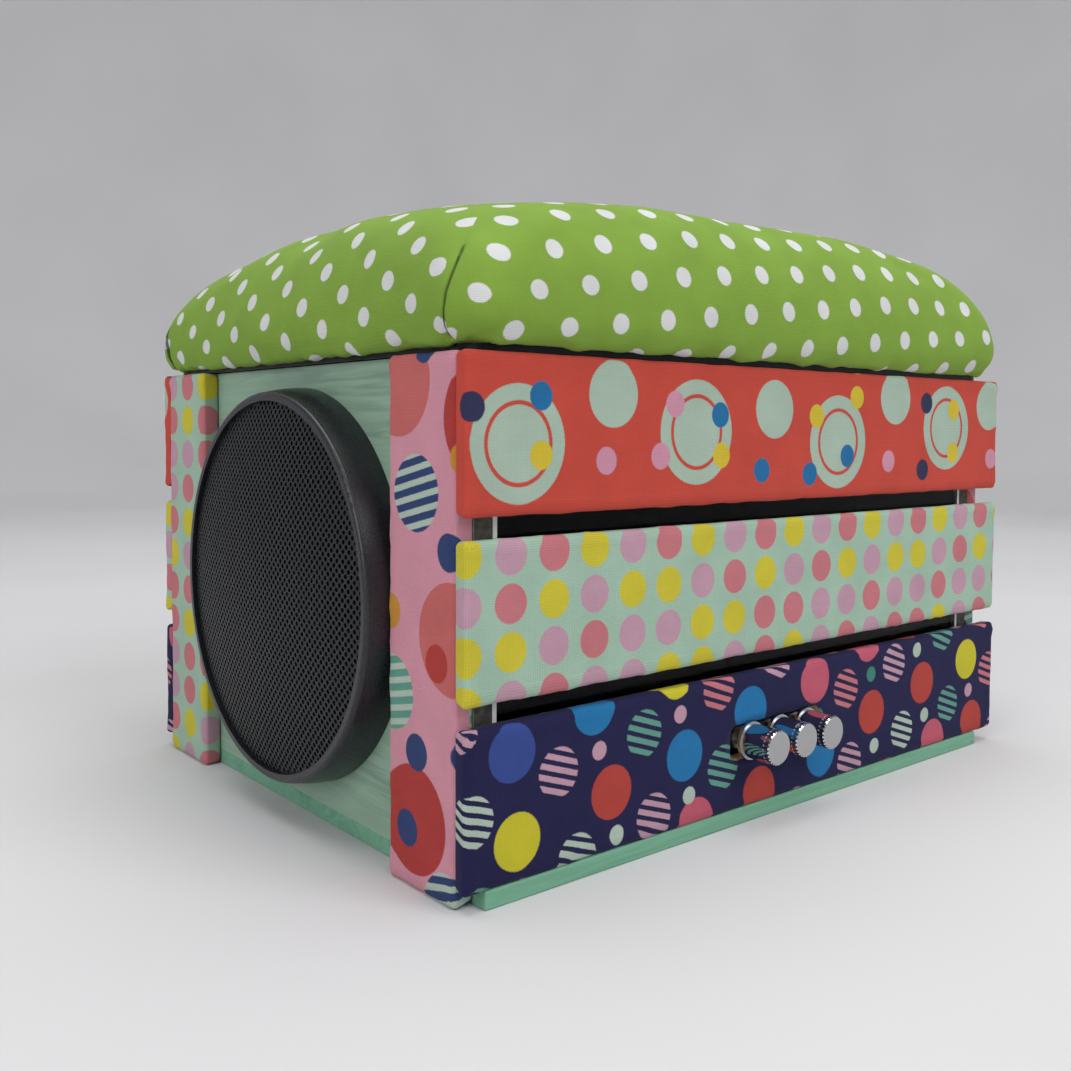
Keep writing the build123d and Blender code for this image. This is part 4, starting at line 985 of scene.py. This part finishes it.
class CRATE_OT_studio(bpy.types.Operator):
    """Set up the floor, the light and the camera"""

    bl_idname = "crate.studio"
    bl_label = "Studio"

    def execute(self, context):
        scene = context.scene
        # Matt paper backdrop: very faint unevenness, so it doesn't read as a flat fill.
        material, add = new_tree("Studio_backdrop_matt_paper")
        tint = mottled(add, in_millimetres(add), 400, 0.97, 1.03)
        paper = add("Mix", {0: 1.0, 6: [*scene.crate_settings.floor_colour, 1.0], 7: tint}, **COLOURS,
                         blend_type="MULTIPLY")
        finish_tree(add, {"Base Color": paper, "Roughness": 0.9, "Specular IOR Level": 0.1})
        # A round floor that sweeps up into a wall: r = floor + bend sin a, z = bend (1 - cos a).
        bend = np.linspace(0, pi / 2, 13)
        sweep = np.column_stack([FLOOR_RADIUS + WALL_BEND * np.sin(bend), WALL_BEND - WALL_BEND * np.cos(bend)])
        wall = (FLOOR_RADIUS + WALL_BEND, WALL_TOP)
        profile = np.concatenate([[(0.02, 0), (1, 0)], sweep, [wall]])[:, None] / MM
        turn = np.arange(BACKDROP_SIDES) * 2 * pi / BACKDROP_SIDES
        points = np.stack(np.broadcast_arrays(profile[..., 0] * np.cos(turn), profile[..., 0] * np.sin(turn),
                                              profile[..., 1]), -1).reshape(-1, 3)
        index = np.arange(len(points)).reshape(-1, BACKDROP_SIDES)
        mesh_piece("studio_floor", points, corners(np.append(index, index[:, :1], 1)), material)
        for name, place, aim, size, power in (
                ("key_light", (0.4, -1.9, 1.7), (0, 0, 0.12), 1.6, 28),
                ("fill_light", (-2.1, -0.5, 1.1), (0, 0, 0.12), 1.6, 17),
                ("top_light", (0, 0, 2.4), (0, 0, 0), 2.4, 34)):
            lamp = bpy.data.lights.new(name, "AREA")
            lamp.shape, lamp.size, lamp.energy = "DISK", size, power
            light = bpy.data.objects.new(name, lamp)
            light.location = place
            light.rotation_euler = (Vector(aim) - Vector(place)).to_track_quat("-Z", "Y").to_euler()
            scene.collection.objects.link(light)
        # A white room, dimmer as a light than where it is seen, mirrored or looked at through the sheet.
        scene.world = scene.world or bpy.data.worlds.new("studio")
        scene.world.use_nodes = True
        scene.world.node_tree.nodes.clear()
        add = partial(add_node, scene.world.node_tree)
        seen = [add("LightPath", out=name)
                for name in ("Is Camera Ray", "Is Glossy Ray", "Is Transmission Ray")]
        any_seen = add("Math", seen[:2], operation="MAXIMUM")
        any_seen = add("Math", [any_seen, seen[2]], operation="MAXIMUM")
        strength = add("MapRange", [any_seen, 0, 1, 0.42, 1.0])
        add("OutputWorld", [add("Background", ["#FFFFFF", strength])])
        scene.view_settings.view_transform = "Standard"
        # The camera is solved from the straight edges of the crate on the photograph.
        forward = Vector((sin(YAW) * cos(PITCH), cos(YAW) * cos(PITCH), -sin(PITCH)))
        level = Vector((cos(YAW), -sin(YAW), 0))
        above = level.cross(forward)
        right, up = level * cos(ROLL) + above * sin(ROLL), above * cos(ROLL) - level * sin(ROLL)
        lens = bpy.data.cameras.new("camera")
        lens.sensor_width, lens.lens = SENSOR, SENSOR * FOCAL / PHOTO
        lens.shift_x, lens.shift_y = (PHOTO / 2 - PRINCIPAL[0]) / PHOTO, (PRINCIPAL[1] - PHOTO / 2) / PHOTO
        lens.clip_start, lens.clip_end = 0.01, 50
        camera = bpy.data.objects.new("camera", lens)
        turned = Matrix((right, up, -forward)).transposed().to_4x4()
        camera.matrix_world = Matrix.Translation(CAMERA_PLACE) @ turned
        scene.collection.objects.link(camera)
        scene.camera = camera
        return {"FINISHED"}


class CRATE_PT_panel(bpy.types.Panel):
    """The crate's sizes and steps in the sidebar"""

    bl_idname = "CRATE_PT_panel"
    bl_label = "Crate speaker"
    bl_space_type = "VIEW_3D"
    bl_region_type = "UI"
    bl_category = "Crate"

    def draw(self, context):
        for name in CrateSettings.__annotations__:
            self.layout.prop(context.scene.crate_settings, name)
        for operator in OPERATORS:
            self.layout.operator(operator.bl_idname)


OPERATORS = (CRATE_OT_woodwork, CRATE_OT_slat_covers, CRATE_OT_post_covers, CRATE_OT_lid, CRATE_OT_hinges,
             CRATE_OT_sheets, CRATE_OT_grilles, CRATE_OT_drivers, CRATE_OT_controls, CRATE_OT_electronics,
             CRATE_OT_studio)
CLASSES = (CrateSettings, *OPERATORS, CRATE_PT_panel)


def register():
    for cls in CLASSES:
        bpy.utils.register_class(cls)
    bpy.types.Scene.crate_settings = bpy.props.PointerProperty(type=CrateSettings)


def unregister():
    del bpy.types.Scene.crate_settings
    for cls in reversed(CLASSES):
        bpy.utils.unregister_class(cls)


def main():
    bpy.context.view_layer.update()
    register()
    bpy.ops.crate.woodwork()
    bpy.ops.crate.slat_covers()
    bpy.ops.crate.post_covers()
    bpy.ops.crate.lid()
    bpy.ops.crate.hinges()
    bpy.ops.crate.sheets()
    bpy.ops.crate.grilles()
    bpy.ops.crate.drivers()
    bpy.ops.crate.controls()
    bpy.ops.crate.electronics()
    bpy.ops.crate.studio()


if __name__ == "__main__":
    main()
